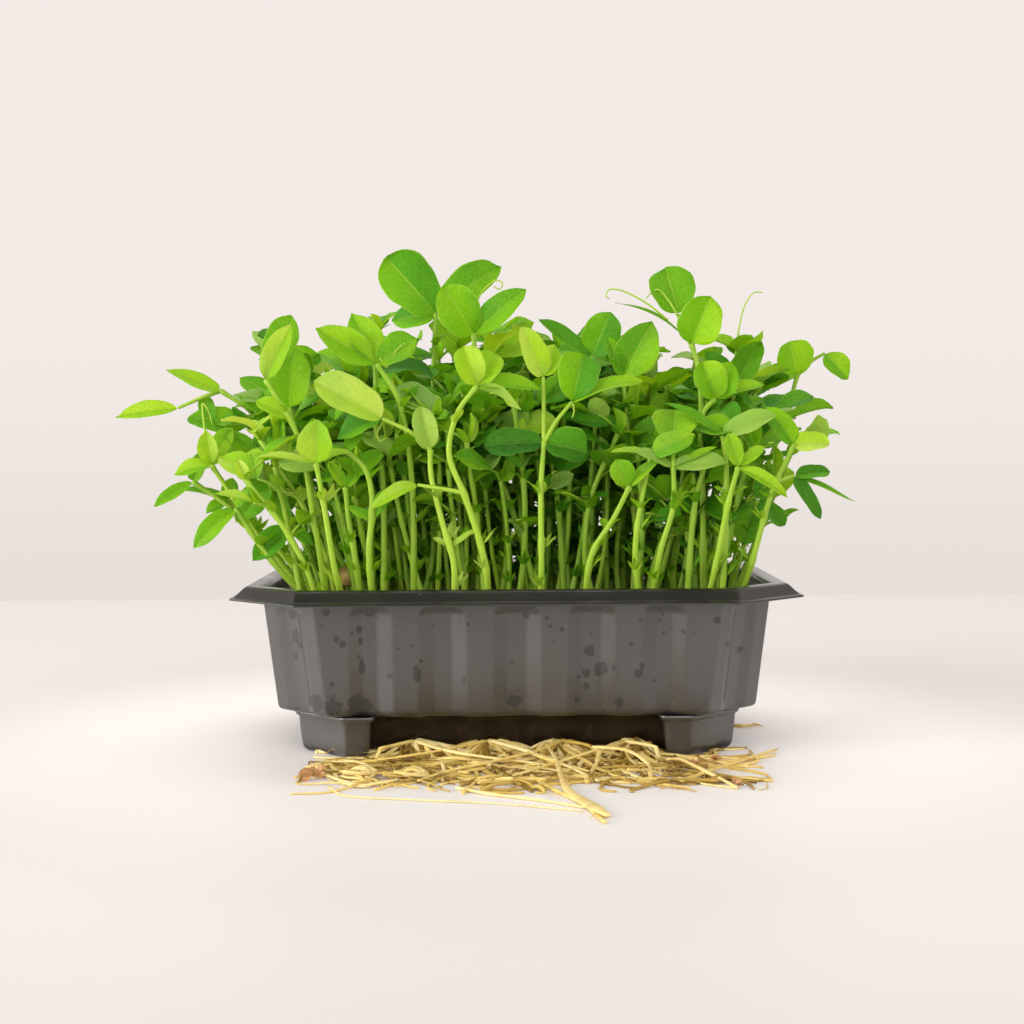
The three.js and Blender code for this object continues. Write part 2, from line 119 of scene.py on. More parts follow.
def add_to_scene(name, data):
    made = bpy.data.objects.new(name, data)
    bpy.context.scene.collection.objects.link(made)
    return made


def mesh_of(name, points, faces, smooth=True):
    mesh = bpy.data.meshes.new(name)
    mesh.from_pydata(to_row(points).tolist(), [], faces)
    mesh.polygons.foreach_set("use_smooth", [smooth] * len(faces))
    return mesh


class Shape:
    """One mesh in the making. Each point also carries a grain that the materials read:
    how far along it is, how far across it is, and its tone."""

    def __init__(self):
        self.points, self.faces, self.grains = [], [], []
        self.count = 0

    def add(self, points, faces, grain):
        points = np.asarray(points, float)
        self.points.append(points)
        self.faces.extend(tuple(corner + self.count for corner in face) for face in faces)
        self.grains.append(np.broadcast_to(np.asarray(grain, float), points.shape))
        self.count += len(points)

    def piece(self, name, material, slot, replaces=()):
        """Makes the object. No point is left under the table."""
        points = np.vstack(self.points)
        points[:, 2] = np.maximum(points[:, 2], 0)
        mesh = mesh_of(name, points, self.faces)
        grain = mesh.attributes.new("grain", "FLOAT_VECTOR", "POINT")
        grain.data.foreach_set("vector", np.vstack(self.grains).astype(np.float32).ravel())
        mesh.materials.append(material)
        mesh.update()
        made = add_to_scene(name, mesh)
        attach(made, "root")
        if replaces:
            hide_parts(*replaces)
        return made


def grid_faces(rows, columns, closed=False):
    """Quads over a grid of points listed row by row; closed joins the last column to the first."""
    faces = []
    for row in range(rows - 1):
        for column in range(columns if closed else columns - 1):
            after = (column + 1) % columns
            a, b = row * columns + column, row * columns + after
            faces.append((a, b, b + columns, a + columns))
    return faces


def add_tube(shape, path, radius, sides, tone, flatten=1.0):
    """A round bar along the path. The radius is one number or one for each point."""
    path = np.asarray(path, float)
    count = len(path)
    radius = np.broadcast_to(np.asarray(radius, float), count)
    tangent = np.gradient(path, axis=0)
    tangent /= np.maximum(np.linalg.norm(tangent, axis=1, keepdims=True), 1e-9)
    side = np.cross(tangent[0], [0, 0, 1] if abs(tangent[0][2]) < 0.9 else [1, 0, 0])
    sides_out = np.empty((count, 3))
    for i in range(count):
        side = unit(side - tangent[i] * side.dot(tangent[i]))
        sides_out[i] = side
    up = np.cross(tangent, sides_out)
    angle = np.linspace(0, 2 * math.pi, sides, endpoint=False)
    ring = sides_out[:, None] * np.cos(angle)[:, None] + up[:, None] * (flatten * np.sin(angle))[:, None]
    points = (path[:, None] + ring * radius[:, None, None]).reshape(-1, 3)
    ends = [path[0] - tangent[0] * radius[0] * 0.5, path[-1] + tangent[-1] * radius[-1] * 0.5]
    points = np.vstack([points, ends])
    faces = grid_faces(count, sides, closed=True)
    first, last, top = count * sides, count * sides + 1, (count - 1) * sides
    faces += [(first, (i + 1) % sides, i) for i in range(sides)]
    faces += [(last, top + i, top + (i + 1) % sides) for i in range(sides)]
    grain = np.empty((len(points), 3))
    grain[:, 0] = np.append(np.repeat(np.linspace(0, 1, count), sides), [0, 1])
    grain[:, 1] = np.append(np.tile(angle / math.pi - 1, count), [0, 0])
    grain[:, 2] = tone
    shape.add(points, faces, grain)


def blade_outline(u, v, width, widest, blunt, rng):
    """Half the blade's width at each place along it, a little uneven from side to side."""
    wedge = blunt * widest / (1 - widest)
    broadest = widest ** wedge * (1 - widest) ** blunt
    half = width / 2 * u ** wedge * (1 - u) ** blunt / broadest
    slow, quick = rng.uniform(0, 6), rng.uniform(0, 6)
    uneven = 1 + 0.035 * np.sin(8 * u + slow) + 0.02 * np.sin(19 * u + v + quick)
    return np.maximum(half * (uneven + rng.uniform(-0.09, 0.09) * np.sign(v)), 0.02 * width)


def blade_lift(u, v, half, width, fold, rng):
    """How far each place rises over the midrib: the fold, its crown and a wavy margin."""
    phase, wave = rng.uniform(0, 2 * math.pi, 2), rng.uniform(0.03, 0.09) * width
    out = np.abs(v)
    lift = fold * out * half + 0.18 * fold * width * out * (1 - out)
    return lift + wave * out ** 3 * np.sin(7 * u + phase[0] + np.sign(v) * phase[1])


def add_blade(shape, base, reach, width, normal, tone, rng, rows=12, columns=8, fold=0.25, curl=0.5,
              widest=0.46, blunt=0.56, pale=False):
    """One leaflet from base to base + reach. Its upper side faces the normal as far as it can.
    fold lifts both halves off the midrib, curl bends it tipwards by that many radians, widest
    is how far along it is broadest, a smaller blunt makes a rounder tip, and a pale blade
    shows its greyer underside, which its tone carries as 2 added to it."""
    length = np.linalg.norm(reach)
    even = np.linspace(0, 1, rows + 1)
    along = 0.6 * (1 - np.cos(math.pi * even)) / 2 + 0.4 * even
    u, v = np.meshgrid(along, np.linspace(-1, 1, columns + 1), indexing="ij")
    half = blade_outline(u, v, width, widest, blunt, rng)
    lift = blade_lift(u, v, half, width, fold, rng)
    bend = curl if abs(curl) > 1e-3 else 1e-3
    turn = bend * (0.5 - u)
    arc = length / (2 * np.sin(bend / 2))
    forward = (np.sin(bend / 2) - np.sin(turn)) * arc - np.sin(turn) * lift
    forward = forward + 0.03 * length * (u > 0.999)
    rise = (np.cos(turn) - np.cos(bend / 2)) * arc + np.cos(turn) * lift
    twist = rng.uniform(-0.25, 0.25) * u
    sideways = v * half * np.cos(twist) - 0.15 * rise * np.sin(twist)
    rise = rise + v * half * np.sin(twist)
    ahead = unit(reach)
    right = unit(np.cross(ahead, normal))
    upper = np.cross(right, ahead)
    flat = np.stack([sideways, forward, rise], axis=-1).reshape(-1, 3)
    points = flat @ np.vstack([right, ahead, upper]) + np.asarray(base, float)
    # Painted light: one half of each blade is made a little lighter and the other darker, as light falls on
    # the two sides of its fold.
    tones = np.clip(tone + rng.uniform(-0.11, 0.11) * np.sign(v), 0, 1) + 2 * pale
    grain = np.stack([u, v, tones], axis=-1).reshape(-1, 3)
    shape.add(points, grid_faces(rows + 1, columns + 1), grain)


# ---- materials -----------------------------------------------------------------------


class Nodes:
    """A short way to write a tree of shader nodes."""

    def __init__(self, tree):
        self.tree = tree

    def put(self, socket, value):
        """Links an output to a socket, or sets the socket to a number, vector or color."""
        if hasattr(value, "is_output"):
            self.tree.links.new(value, socket)
        elif hasattr(socket.default_value, "__len__") and len(socket.default_value) == 4:
            socket.default_value = (*value, 1)
        else:
            socket.default_value = value

    def node(self, kind, values=(), **settings):
        made = self.tree.nodes.new(kind)
        for key, value in settings.items():
            setattr(made, key, value)
        for socket, value in dict(values).items():
            self.put(made.inputs[socket], value)
        return made

    def calc(self, operation, *values):
        return self.node("ShaderNodeMath", dict(enumerate(values)), operation=operation).outputs[0]

    def times(self, first, second):
        return self.calc("MULTIPLY", first, second)

    def scaled(self, value, factor, offset):
        return self.calc("MULTIPLY_ADD", value, factor, offset)

    def larger(self, first, second):
        return self.calc("MAXIMUM", first, second)

    def vector(self, operation, first, second):
        return self.node("ShaderNodeVectorMath", {0: first, 1: second}, operation=operation).outputs[0]

    def dot(self, first, second):
        made = self.node("ShaderNodeVectorMath", {0: first, 1: second}, operation="DOT_PRODUCT")
        return made.outputs["Value"]

    def length(self, vector):
        return self.node("ShaderNodeVectorMath", {0: vector}, operation="LENGTH").outputs["Value"]

    def split(self, vector):
        return self.node("ShaderNodeSeparateXYZ", {0: vector}).outputs

    def step(self, value, low, high, start=0.0, end=1.0):
        """Goes softly from start to end as the value goes from low to high."""
        values = {0: value, 1: low, 2: high, 3: start, 4: end}
        return self.node("ShaderNodeMapRange", values, interpolation_type="SMOOTHSTEP").outputs[0]

    def mix(self, share, first, second, kind="MIX"):
        values = {0: share, 6: first, 7: second}
        return self.node("ShaderNodeMix", values, data_type="RGBA", blend_type=kind).outputs[2]

    def tint(self, color, toward, value, low, high, share=1.0):
        """Mixes another color in, more and more as the value goes from low to high."""
        return self.mix(self.step(value, low, high, 0.0, share), color, toward)


class Paint(Nodes):
    """One material."""

    def __init__(self, name):
        self.material = bpy.data.materials.new(name)
        self.material.use_nodes = True
        super().__init__(self.material.node_tree)
        self.surface = self.tree.nodes["Principled BSDF"]
        self.output = self.tree.nodes["Material Output"]

    def grain(self):
        """The points' own values as three outputs: along, across, tone."""
        read = self.node("ShaderNodeAttribute", attribute_name="grain")
        return self.split(read.outputs["Vector"])

    def place(self):
        """The place in the tray's frame, in millimetres."""
        here = self.node("ShaderNodeNewGeometry").outputs["Position"]
        values = {0: self.vector("SUBTRACT", here, tuple(TRAY_CENTRE)), 3: 1 / MILLIMETRE}
        return self.node("ShaderNodeVectorMath", values, operation="SCALE").outputs[0]

    def stretched(self, place, stretch):
        """The place with its height scaled, for marks that run up and down."""
        return self.vector("MULTIPLY", place, (1.0, 1.0, stretch))

    def noise(self, place, scale, detail=2.0, rough=0.5, twist=0.0):
        values = {"Vector": place, "Scale": scale, "Detail": detail, "Roughness": rough, "Distortion": twist}
        return self.node("ShaderNodeTexNoise", values).outputs["Fac"]

    def cells(self, place, scale, feature="F1"):
        return self.node("ShaderNodeTexVoronoi", {"Vector": place, "Scale": scale}, feature=feature).outputs

    def chance(self, cells, channel, low, high):
        """1 in those cells whose random number is past low to high."""
        parts = self.node("ShaderNodeSeparateColor", {0: cells["Color"]}).outputs
        return self.step(parts[channel], low, high)

    def ramp(self, value, stops):
        """Colors along a value. The first two stops are the ramp's own two ends."""
        made = self.node("ShaderNodeValToRGB", {0: value})
        band = made.color_ramp
        for index, (place, color) in enumerate(stops):
            stop = band.elements[index] if index < 2 else band.elements.new(place)
            stop.position = place
            stop.color = (*color, 1)
        return made.outputs[0]

    def bump(self, height, strength, distance):
        """Raises the surface by the height, with the distance in millimetres."""
        values = {"Height": height, "Strength": strength, "Distance": distance * MILLIMETRE}
        self.put(self.surface.inputs["Normal"], self.node("ShaderNodeBump", values).outputs[0])

    def let_light_through(self, color, filter_color, share):
        """Mixes in light that comes through from the far side, colored on its way."""
        seen = self.mix(1.0, color, filter_color, "MULTIPLY")
        through = self.node("ShaderNodeBsdfTranslucent", {"Color": seen}).outputs[0]
        mixed = self.node("ShaderNodeMixShader", {0: share, 1: self.surface.outputs[0], 2: through})
        self.put(self.output.inputs["Surface"], mixed.outputs[0])

    def finish(self, color, roughness, specular):
        self.put(self.surface.inputs["Base Color"], color)
        self.put(self.surface.inputs["Roughness"], roughness)
        self.put(self.surface.inputs["Specular IOR Level"], specular)
        return self.material


def leaf_veins(paint, place, along, side):
    """1 on the slanting side veins and fainter on the net between them."""
    slant = paint.scaled(side, -0.42, along)
    wander = paint.scaled(paint.noise(place, 0.25, 1.0), 0.08, slant)
    wave = paint.calc("PINGPONG", paint.times(wander, 6.5), 0.5)
    veins = paint.times(paint.step(wave, 0.07, 0.0), paint.step(side, 0.95, 0.45))
    net = paint.step(paint.cells(place, 0.55, "DISTANCE_TO_EDGE")["Distance"], 0.16, 0.0)
    veins = paint.larger(veins, paint.times(net, 0.35))
    return paint.times(veins, paint.step(paint.noise(place, 0.022, 1.0), 0.42, 0.60, 0.34, 0.68))


def leaf_material():
    """Green blades from dark to pale by their tone, with a light midrib, veins and margin."""
    paint = Paint("pea_leaf")
    along, across, tone = paint.grain()
    place = paint.place()
    underside = paint.calc("GREATER_THAN", tone, 1.5)
    tone = paint.scaled(underside, -2.0, tone)
    patch = paint.noise(place, 0.10, 3.0)
    mottle = paint.noise(place, 0.9, 3.0)
    color = paint.ramp(paint.scaled(paint.calc("SUBTRACT", patch, 0.5), 0.22, tone), [
        (0.0, (0.022, 0.125, 0.010)), (1.0, (0.480, 0.660, 0.105)), (0.3, (0.075, 0.300, 0.010)),
        (0.55, (0.175, 0.450, 0.005)), (0.8, (0.320, 0.570, 0.018)),
    ])
    cooler = paint.mix(0.6, color, (0.070, 0.330, 0.045))
    color = paint.tint(color, cooler, paint.noise(place, 0.045, 2.0), 0.52, 0.70, 0.55)
    darker = paint.mix(0.5, color, (0.040, 0.150, 0.008))
    color = paint.tint(color, darker, mottle, 0.35, 0.75, 0.20)
    greyer = paint.mix(0.6, color, (0.330, 0.500, 0.120))
    color = paint.mix(underside, color, greyer)
    side = paint.calc("ABSOLUTE", across)
    midrib = paint.step(side, 0.055, 0.01)
    margin = paint.step(side, 0.93, 0.99)
    veins = paint.larger(leaf_veins(paint, place, along, side), paint.times(margin, 0.85))
    lines = paint.larger(paint.times(midrib, 0.75), veins)
    drawn = paint.times(lines, paint.step(tone, 0.05, 0.45, 0.5, 1.0))
    color = paint.mix(drawn, color, paint.mix(0.42, color, (0.56, 0.78, 0.18)))
    paint.bump(paint.scaled(lines, -0.8, paint.times(mottle, 0.35)), 0.7, 0.6)
    paint.let_light_through(color, (1.45, 1.20, 0.40), 0.34)
    return paint.finish(color, 0.50, 0.10)


def stem_material():
    """Streaky light green, yellower at the foot and darker towards the crown."""
    paint = Paint("pea_stem")
    along, _, tone = paint.grain()
    place = paint.place()
    streak = paint.noise(paint.stretched(place, 0.08), 1.6, 3.0)
    color = paint.ramp(tone, [
        (0.0, (0.045, 0.140, 0.008)), (1.0, (0.520, 0.690, 0.080)), (0.35, (0.170, 0.370, 0.018)),
        (0.7, (0.350, 0.570, 0.036)),
    ])
    color = paint.tint(color, paint.mix(0.4, color, (0.50, 0.60, 0.12)), streak, 0.35, 0.75, 0.8)
    color = paint.tint(color, (0.22, 0.44, 0.025), along, 0.75, 1.0, 0.35)
    height = paint.split(place)[2]
    color = paint.tint(color, paint.mix(0.5, color, (0.40, 0.42, 0.10)), height, 62.0, 42.0, 0.35)
    paint.bump(streak, 0.3, 0.4)
    paint.let_light_through(color, (1.2, 1.1, 0.5), 0.22)
    return paint.finish(color, 0.38, 0.28)


def root_material():
    """Pale yellow roots, brown where their tone is low, with brown patches and flecks."""
    paint = Paint("pale_root")
    tone = paint.grain()[2]
    place = paint.place()
    color = paint.ramp(tone, [
        (0.0, (0.18, 0.085, 0.010)), (1.0, (1.00, 0.88, 0.43)), (0.4, (0.56, 0.38, 0.07)),
        (0.75, (0.93, 0.75, 0.23)),
    ])
    color = paint.tint(color, (0.62, 0.40, 0.09), paint.noise(place, 0.16, 4.0, 0.6), 0.46, 0.74, 0.6)
    color = paint.tint(color, (0.86, 0.66, 0.12), paint.noise(place, 0.10, 2.0), 0.56, 0.74, 0.5)
    color = paint.tint(color, (0.12, 0.06, 0.02), paint.cells(place, 0.55)["Distance"], 0.12, 0.05, 0.5)
    paint.bump(paint.noise(place, 1.6, 3.0), 0.4, 0.4)
    paint.let_light_through(color, (1.1, 1.0, 0.7), 0.28)
    return paint.finish(color, 0.38, 0.45)


def plain_material(name, stops, scale, roughness, bump_height):
    """A mottled natural surface with no lines: the mat, the seeds and dry scraps."""
    paint = Paint(name)
    place = paint.place()
    coarse = paint.noise(place, scale, 5.0, 0.65, 0.4)
    fine = paint.noise(place, scale * 5, 3.0)
    paint.bump(paint.scaled(fine, 0.4, coarse), 0.7, bump_height)
    return paint.finish(paint.ramp(coarse, stops), roughness, 0.25)


# Dried water stains on the front wall: x, z, radius and how many times taller than wide.
STAINS = [
    (-57.5, 39.7, 1, 1), (-55.6, 37.8, 1.1, 1), (-50.2, 42.6, 1.1, 1.2), (-50, 38.6, 0.7, 1.9),
    (-49.6, 30.3, 1, 2.4), (-50.5, 33.6, 0.5, 1), (-40.8, 27.5, 0.9, 1), (-59.2, 24.9, 0.8, 1),
    (-32, 27.8, 1.2, 2.6), (-60.5, 48.2, 1.2, 1), (-46.7, 47.9, 1.9, 0.8), (-64.9, 18.3, 2.9, 1),
    (-59, 17.7, 3.2, 0.9), (-50.8, 17.3, 4, 0.9), (-72.8, 47.1, 1.4, 1.6), (-71.8, 39.5, 1.3, 1.8),
    (-70, 36.7, 0.9, 1.6), (-71.9, 32.6, 1.1, 1.2), (-37.9, 36.3, 0.5, 1), (-30.6, 32.2, 0.5, 1),
    (-15.6, 44.1, 0.7, 1), (-17.1, 25.9, 0.8, 1.4), (-61.9, 43.8, 0.5, 1), (-52.5, 41.4, 0.5, 1),
    (23.4, 34.9, 1.9, 1), (26.9, 28.9, 2.3, 1), (22.2, 27.9, 1.4, 1), (19.8, 26.6, 0.8, 0.8),
    (22.2, 23.2, 1.1, 1), (-0.7, 18.8, 2.5, 0.9), (38.6, 27.6, 1.5, 0.9), (39.9, 29.7, 0.8, 1.6),
    (39.2, 44.9, 0.5, 1), (45.5, 44.7, 0.5, 1), (36.3, 37.5, 0.7, 1), (14.4, 42.4, 0.7, 1),
    (10.5, 43.3, 0.8, 0.8), (3.1, 46.6, 1.1, 1), (9.6, 46, 0.5, 1), (46.5, 46.6, 0.5, 1),
    (46.8, 40.5, 0.5, 1), (43.9, 25, 0.8, 1), (30.8, 29.6, 0.8, 1.3), (32.4, 18.3, 1.5, 1),
    (19.1, 19, 0.9, 1), (72.6, 33.9, 1.2, 1), (67.6, 36.8, 0.8, 1.3), (63.8, 44.8, 1.2, 1),
    (53, 41.3, 0.7, 1), (23.7, 40.4, 0.4, 1), (-1.6, 31.7, 0.6, 1),
]


def stain_mask(paint, x, y, z, wobble):
    """1 on the dried water stains, which have uneven edges."""
    stain = None
    for middle_x, middle_z, radius, tall in STAINS:
        away = paint.node("ShaderNodeCombineXYZ", {
            0: paint.calc("SUBTRACT", x, middle_x),
            1: paint.times(paint.calc("SUBTRACT", z, middle_z), 1 / tall),
        }).outputs[0]
        reach = paint.scaled(paint.calc("SUBTRACT", wobble, 0.5), radius * 1.5, paint.length(away))
        spot = paint.step(reach, radius * 1.10, radius * 0.88)
        stain = spot if stain is None else paint.larger(stain, spot)
    return paint.times(stain, paint.step(y, -38.0, -39.0))


def base_mask(paint, x, y, below):
    """1 on the sunken base box between the feet."""
    level_x, level_y = paint.calc("ABSOLUTE", x), paint.calc("ABSOLUTE", y)
    behind_feet = paint.step(level_y, 47.2, 46.4)
    inside_cuts = paint.step(paint.calc("ADD", level_x, level_y), 107.4, 106.4)
    return paint.times(paint.times(inside_cuts, behind_feet), below)


def speck_mask(paint, place, z):
    """1 on a few specks of dust, most of them on the feet, the base and the band."""
    dust = paint.cells(place, 0.42)
    chosen = paint.chance(dust, 1, 0.90, 0.91)
    low = paint.step(z, 15.0, 12.0, 0.25, 1.0)
    where = paint.times(chosen, paint.larger(low, paint.step(z, 48.6, 49.2)))
    return paint.times(paint.step(dust["Distance"], 0.10, 0.05), where)


def tray_material():
    """Glossy black plastic, stained on the wall, with painted light on the downward faces under the rim, a
    painted floor reflection below the wall's foot, painted shade on the sunken base with brown roots showing
    through it, and painted shade on the rim.
    """
    paint = Paint("black_tray")
    place = paint.place()
    x, y, z = paint.split(place)
    stain = stain_mask(paint, x, y, z, paint.noise(place, 0.5, 3.0))
    small = paint.cells(place, 0.16)
    drops = paint.times(paint.step(small["Distance"], 0.12, 0.08), paint.chance(small, 0, 0.66, 0.68))
    wet = paint.larger(stain, paint.times(drops, 0.7))
    smear = paint.noise(place, 0.05, 2.0, 0.5, 0.3)
    color = paint.tint((0.026, 0.024, 0.021), (0.034, 0.031, 0.027), smear, 0.25, 0.80)
    color = paint.mix(paint.times(wet, 0.8), color, (0.010, 0.009, 0.008))

    # Painted light: faces under the rim that point down are painted light grey and made less glossy, in place
    # of the dark reflection they would show.
    facing = paint.node("ShaderNodeNewGeometry").outputs["Normal"]
    downwards = paint.step(paint.split(facing)[2], -0.22, -0.45)
    painted_light_underside = paint.times(downwards, paint.step(z, 44.5, 45.5))
    color = paint.mix(paint.times(painted_light_underside, 0.9), color, (0.112, 0.113, 0.115))
    # Painted reflection: below the wall's foot the plastic, feet included, is lightened as if it caught the
    # pale table.
    below = paint.step(z, 13.9, 13.2)
    color = paint.mix(paint.times(below, 0.8), color, (0.045, 0.041, 0.037))
    # Painted shade: the sunken base between the feet is painted near black, with brown streaks of the roots
    # that show through it.
    shade = base_mask(paint, x, y, below)
    roots_behind = paint.noise(paint.stretched(place, 0.35), 0.16, 4.0, 0.6, 1.2)
    rooty = paint.times(paint.step(roots_behind, 0.55, 0.75), 0.45)
    brown = paint.mix(rooty, (0.010, 0.006, 0.003), (0.060, 0.036, 0.018))
    color = paint.mix(shade, color, brown)
    color = paint.mix(speck_mask(paint, place, z), color, (0.62, 0.58, 0.52))
    # Painted shade: the rim is darkened, for the dark room overhead that it reflects.
    rim = paint.step(z, 50.8, 51.2)
    color = paint.mix(paint.times(rim, 0.7), color, (0.012, 0.011, 0.010))

    rough = paint.scaled(wet, 0.12, paint.step(smear, 0.2, 0.8, 0.25, 0.33))
    rough = paint.scaled(rim, -0.08, rough)
    gloss = paint.times(paint.scaled(wet, -0.35, 1.15), paint.step(shade, 0.0, 1.0, 1.0, 0.35))
    gloss = paint.times(gloss, paint.scaled(painted_light_underside, -0.8, 1.0))
    gloss = paint.times(gloss, paint.scaled(rim, -0.62, 1.0))
    paint.bump(paint.noise(place, 0.07, 2.0), 0.10, 1.0)
    return paint.finish(color, rough, gloss)


LEAF = leaf_material()
STEM = stem_material()
ROOT = root_material()
TRAY = tray_material()
MAT = plain_material("root_mat_fibre", [
    (0.25, (0.050, 0.030, 0.012)), (0.75, (0.360, 0.250, 0.100)), (0.5, (0.170, 0.110, 0.042)),
], 0.25, 0.85, 1.2)
SEED = plain_material("pea_seed_coat", [
    (0.3, (0.300, 0.170, 0.050)), (0.8, (0.720, 0.520, 0.230)), (0.55, (0.520, 0.340, 0.120)),
], 0.3, 0.55, 0.5)
SCRAP = plain_material("dry_scrap", [
    (0.3, (0.300, 0.120, 0.030)), (0.75, (0.760, 0.480, 0.260)), (0.5, (0.560, 0.290, 0.110)),
], 0.6, 0.6, 0.6)


# ---- the tray ------------------------------------------------------------------------


def flute_profile(distances, ribs, last_rib, chamfer_side):
    """How far back each place along a face is, from 0 on a rib to 1 between ribs, with
    rounded edges. Corner faces have one flute in their middle."""
    soften = np.linspace(-0.3, 0.3, 5)
    places = np.abs(np.asarray(distances, float)[:, None] + soften)
    if chamfer_side:
        return CORNER_FLUTE_DEPTH * (1 - np.clip((places - 2.5) / 4, 0, 1)).mean(axis=1)
    back = np.ones(places.shape)
    for centre in ribs:
        back = np.minimum(back, np.clip((np.abs(places - centre) - PROUD_HALF) / FACET, 0, 1))
    back = np.minimum(back, np.clip((last_rib - places) / FACET, 0, 1))
    return back.mean(axis=1)


LONG_RIBS = ([FLUTE_PITCH * 0.5, FLUTE_PITCH * 1.5], LAST_RIB)
SHORT_RIBS = ([FLUTE_PITCH * 0.5], FLUTE_PITCH * 1.5 - PROUD_HALF)
DIAGONAL = math.sqrt(0.5)
# The eight faces of the plan, anticlockwise from the front: outward direction, ribs, the
# place of the outermost rib's edge, and the number of columns.
FACES = [
    ((0, -1), *LONG_RIBS, 200), ((DIAGONAL, -DIAGONAL), [], 0, 30),
    ((1, 0), *SHORT_RIBS, 116), ((DIAGONAL, DIAGONAL), [], 0, 30),
    ((0, 1), *LONG_RIBS, 200), ((-DIAGONAL, DIAGONAL), [], 0, 30),
    ((-1, 0), *SHORT_RIBS, 116), ((-DIAGONAL, -DIAGONAL), [], 0, 30),
]
CORNER_FLUTE_DEPTH = 0.55
CORNER_TAPER = 0.12
ARCH_DROP = 1.2
SHOULDER_TOP = 50.4
SHOULDER_HEIGHT = 3.0
LEDGE_INSET = 34


def tray_ring(height, inset, fluted, corner_radius):
    """One ring round the tray. inset is measured in from the lip; a fluted ring follows the
    ribs, whose shoulders run out in an arch below the plain band."""
    half_x, half_y = TRAY_LENGTH / 2 - inset, TRAY_WIDTH / 2 - inset
    chamfer = CORNER_CHAMFER - min(inset, RIM_RUN) - CORNER_TAPER * max(inset - RIM_RUN, 0)
    ease = corner_radius * math.tan(math.pi / 8)
    ring = []
    for (out_x, out_y), ribs, last_rib, columns in FACES:
        slanted = abs(out_x * out_y) > 0.1
        out, along = np.array([out_x, out_y, 0]), np.array([-out_y, out_x, 0])
        cut = chamfer / 2 if slanted else 0
        middle = np.array([np.sign(out_x) * (half_x - cut), np.sign(out_y) * (half_y - cut), 0])
        side = abs(out_x) * half_y + abs(out_y) * half_x
        half = chamfer * DIAGONAL if slanted else side - chamfer
        distances = np.linspace(-1, 1, columns) * (half - ease)
        back = flute_profile(distances, ribs, last_rib, slanted)
        shoulder = SHOULDER_TOP - ARCH_DROP * (1 - back) ** 2
        depth = FLUTE_DEPTH * back * soft_step(shoulder - height, 0, SHOULDER_HEIGHT) * fluted
        points = middle + distances[:, None] * along - depth[:, None] * out
        points[:, 2] = height
        ring.append(points)
        corner = middle + half * along
        turned = np.array([along[0] - along[1], along[0] + along[1], 0]) * DIAGONAL
        start, end = corner - ease * along, corner + ease * turned
        for share in (0.25, 0.5, 0.75):
            bent = (1 - share) ** 2 * start + 2 * share * (1 - share) * corner + share ** 2 * end
            ring.append(np.array([[bent[0], bent[1], height]]))
    return np.vstack(ring)


def tray_tub():
    """The wall and rim as one folded sheet, with the ledge that it stands on. Each ring is its
    height, its inset from the lip, whether the ribs shape it, and its corner radius."""
    lip = TRAY_HEIGHT - 4.6
    wall = [(z, 14.3 - (z - 15.4) * 3.5 / 31, 1, 2) for z in np.linspace(16.4, 45.6, 5)]
    band = [(z, 10.8 - (z - 46.4) * 0.12, 1, 2) for z in np.linspace(46.4, 50.6, 11)]
    outside = [
        (WALL_FOOT_HEIGHT, LEDGE_INSET, 0, 3), (WALL_FOOT_HEIGHT, 19.5, 0, 3),
        (WALL_FOOT_HEIGHT, 17.2, 0.4, 3), (13.66, 16.5, 0.7, 3),
        (13.85, 15.6, 0.9, 3), (14.2, 14.95, 1, 2.6), (14.8, 14.5, 1, 2.2), (15.5, 14.3, 1, 2),
        *wall, *band, (51.6, 10.2, 0, 2), (lip + 2.4, 10.0, 0, 2), (lip + 3.3, 9.75, 0, 2),
        (lip + 3.7, 9.3, 0, 1.8), (lip + 3.8, 8.6, 0, 1.6), (lip + 3.7, 6.3, 0, 1.2),
        (lip + 3.2, 5.5, 0, 1), (lip + 0.7, 2.6, 0, 0.6), (lip + 0.2, 1.9, 0, 0.5),
        (lip, 1.2, 0, 0.4), (lip - 0.04, 0.3, 0, 0.4), (lip + 0.02, 0.06, 0, 0.4), (lip + 0.2, 0, 0, 0.4),
    ]
    inside = [
        (lip + 0.45, 0, 0, 0.4), (lip + 0.65, 0.06, 0, 0.4), (lip + 0.72, 0.3, 0, 0.4),
        (lip + 0.76, 1.0, 0, 0.4), (lip + 1.0, 1.5, 0, 0.5), (lip + 1.6, 2.1, 0, 0.5),
        (lip + 3.7, 4.4, 0, 0.7), (lip + 4.3, 5.1, 0, 0.8), (lip + 4.56, 5.6, 0, 1),
        (lip + 4.6, 6.6, 0, 1.2), (lip + 4.58, 8.4, 0, 1.4), (lip + 4.4, 9.4, 0, 1.5),
        (lip + 3.9, 10.1, 0, 1.6), (lip + 3.0, 10.5, 0, 1.6), (lip + 1.0, 10.9, 0, 1.6),
    ]
    lower = [(height, inset + SHEET, fluted, 1.6) for height, inset, fluted, _ in reversed([*wall, *band])]
    floor = WALL_FOOT_HEIGHT + SHEET
    ledge = [(15.6, 15.6, 1, 2.4), (14.8, 16.2, 0.9, 2.4), (floor, 17.2, 0.5, 2.4),
             (floor, LEDGE_INSET, 0, 2.4)]
    return np.array([tray_ring(*row) for row in [*outside, *inside, *lower, *ledge]])


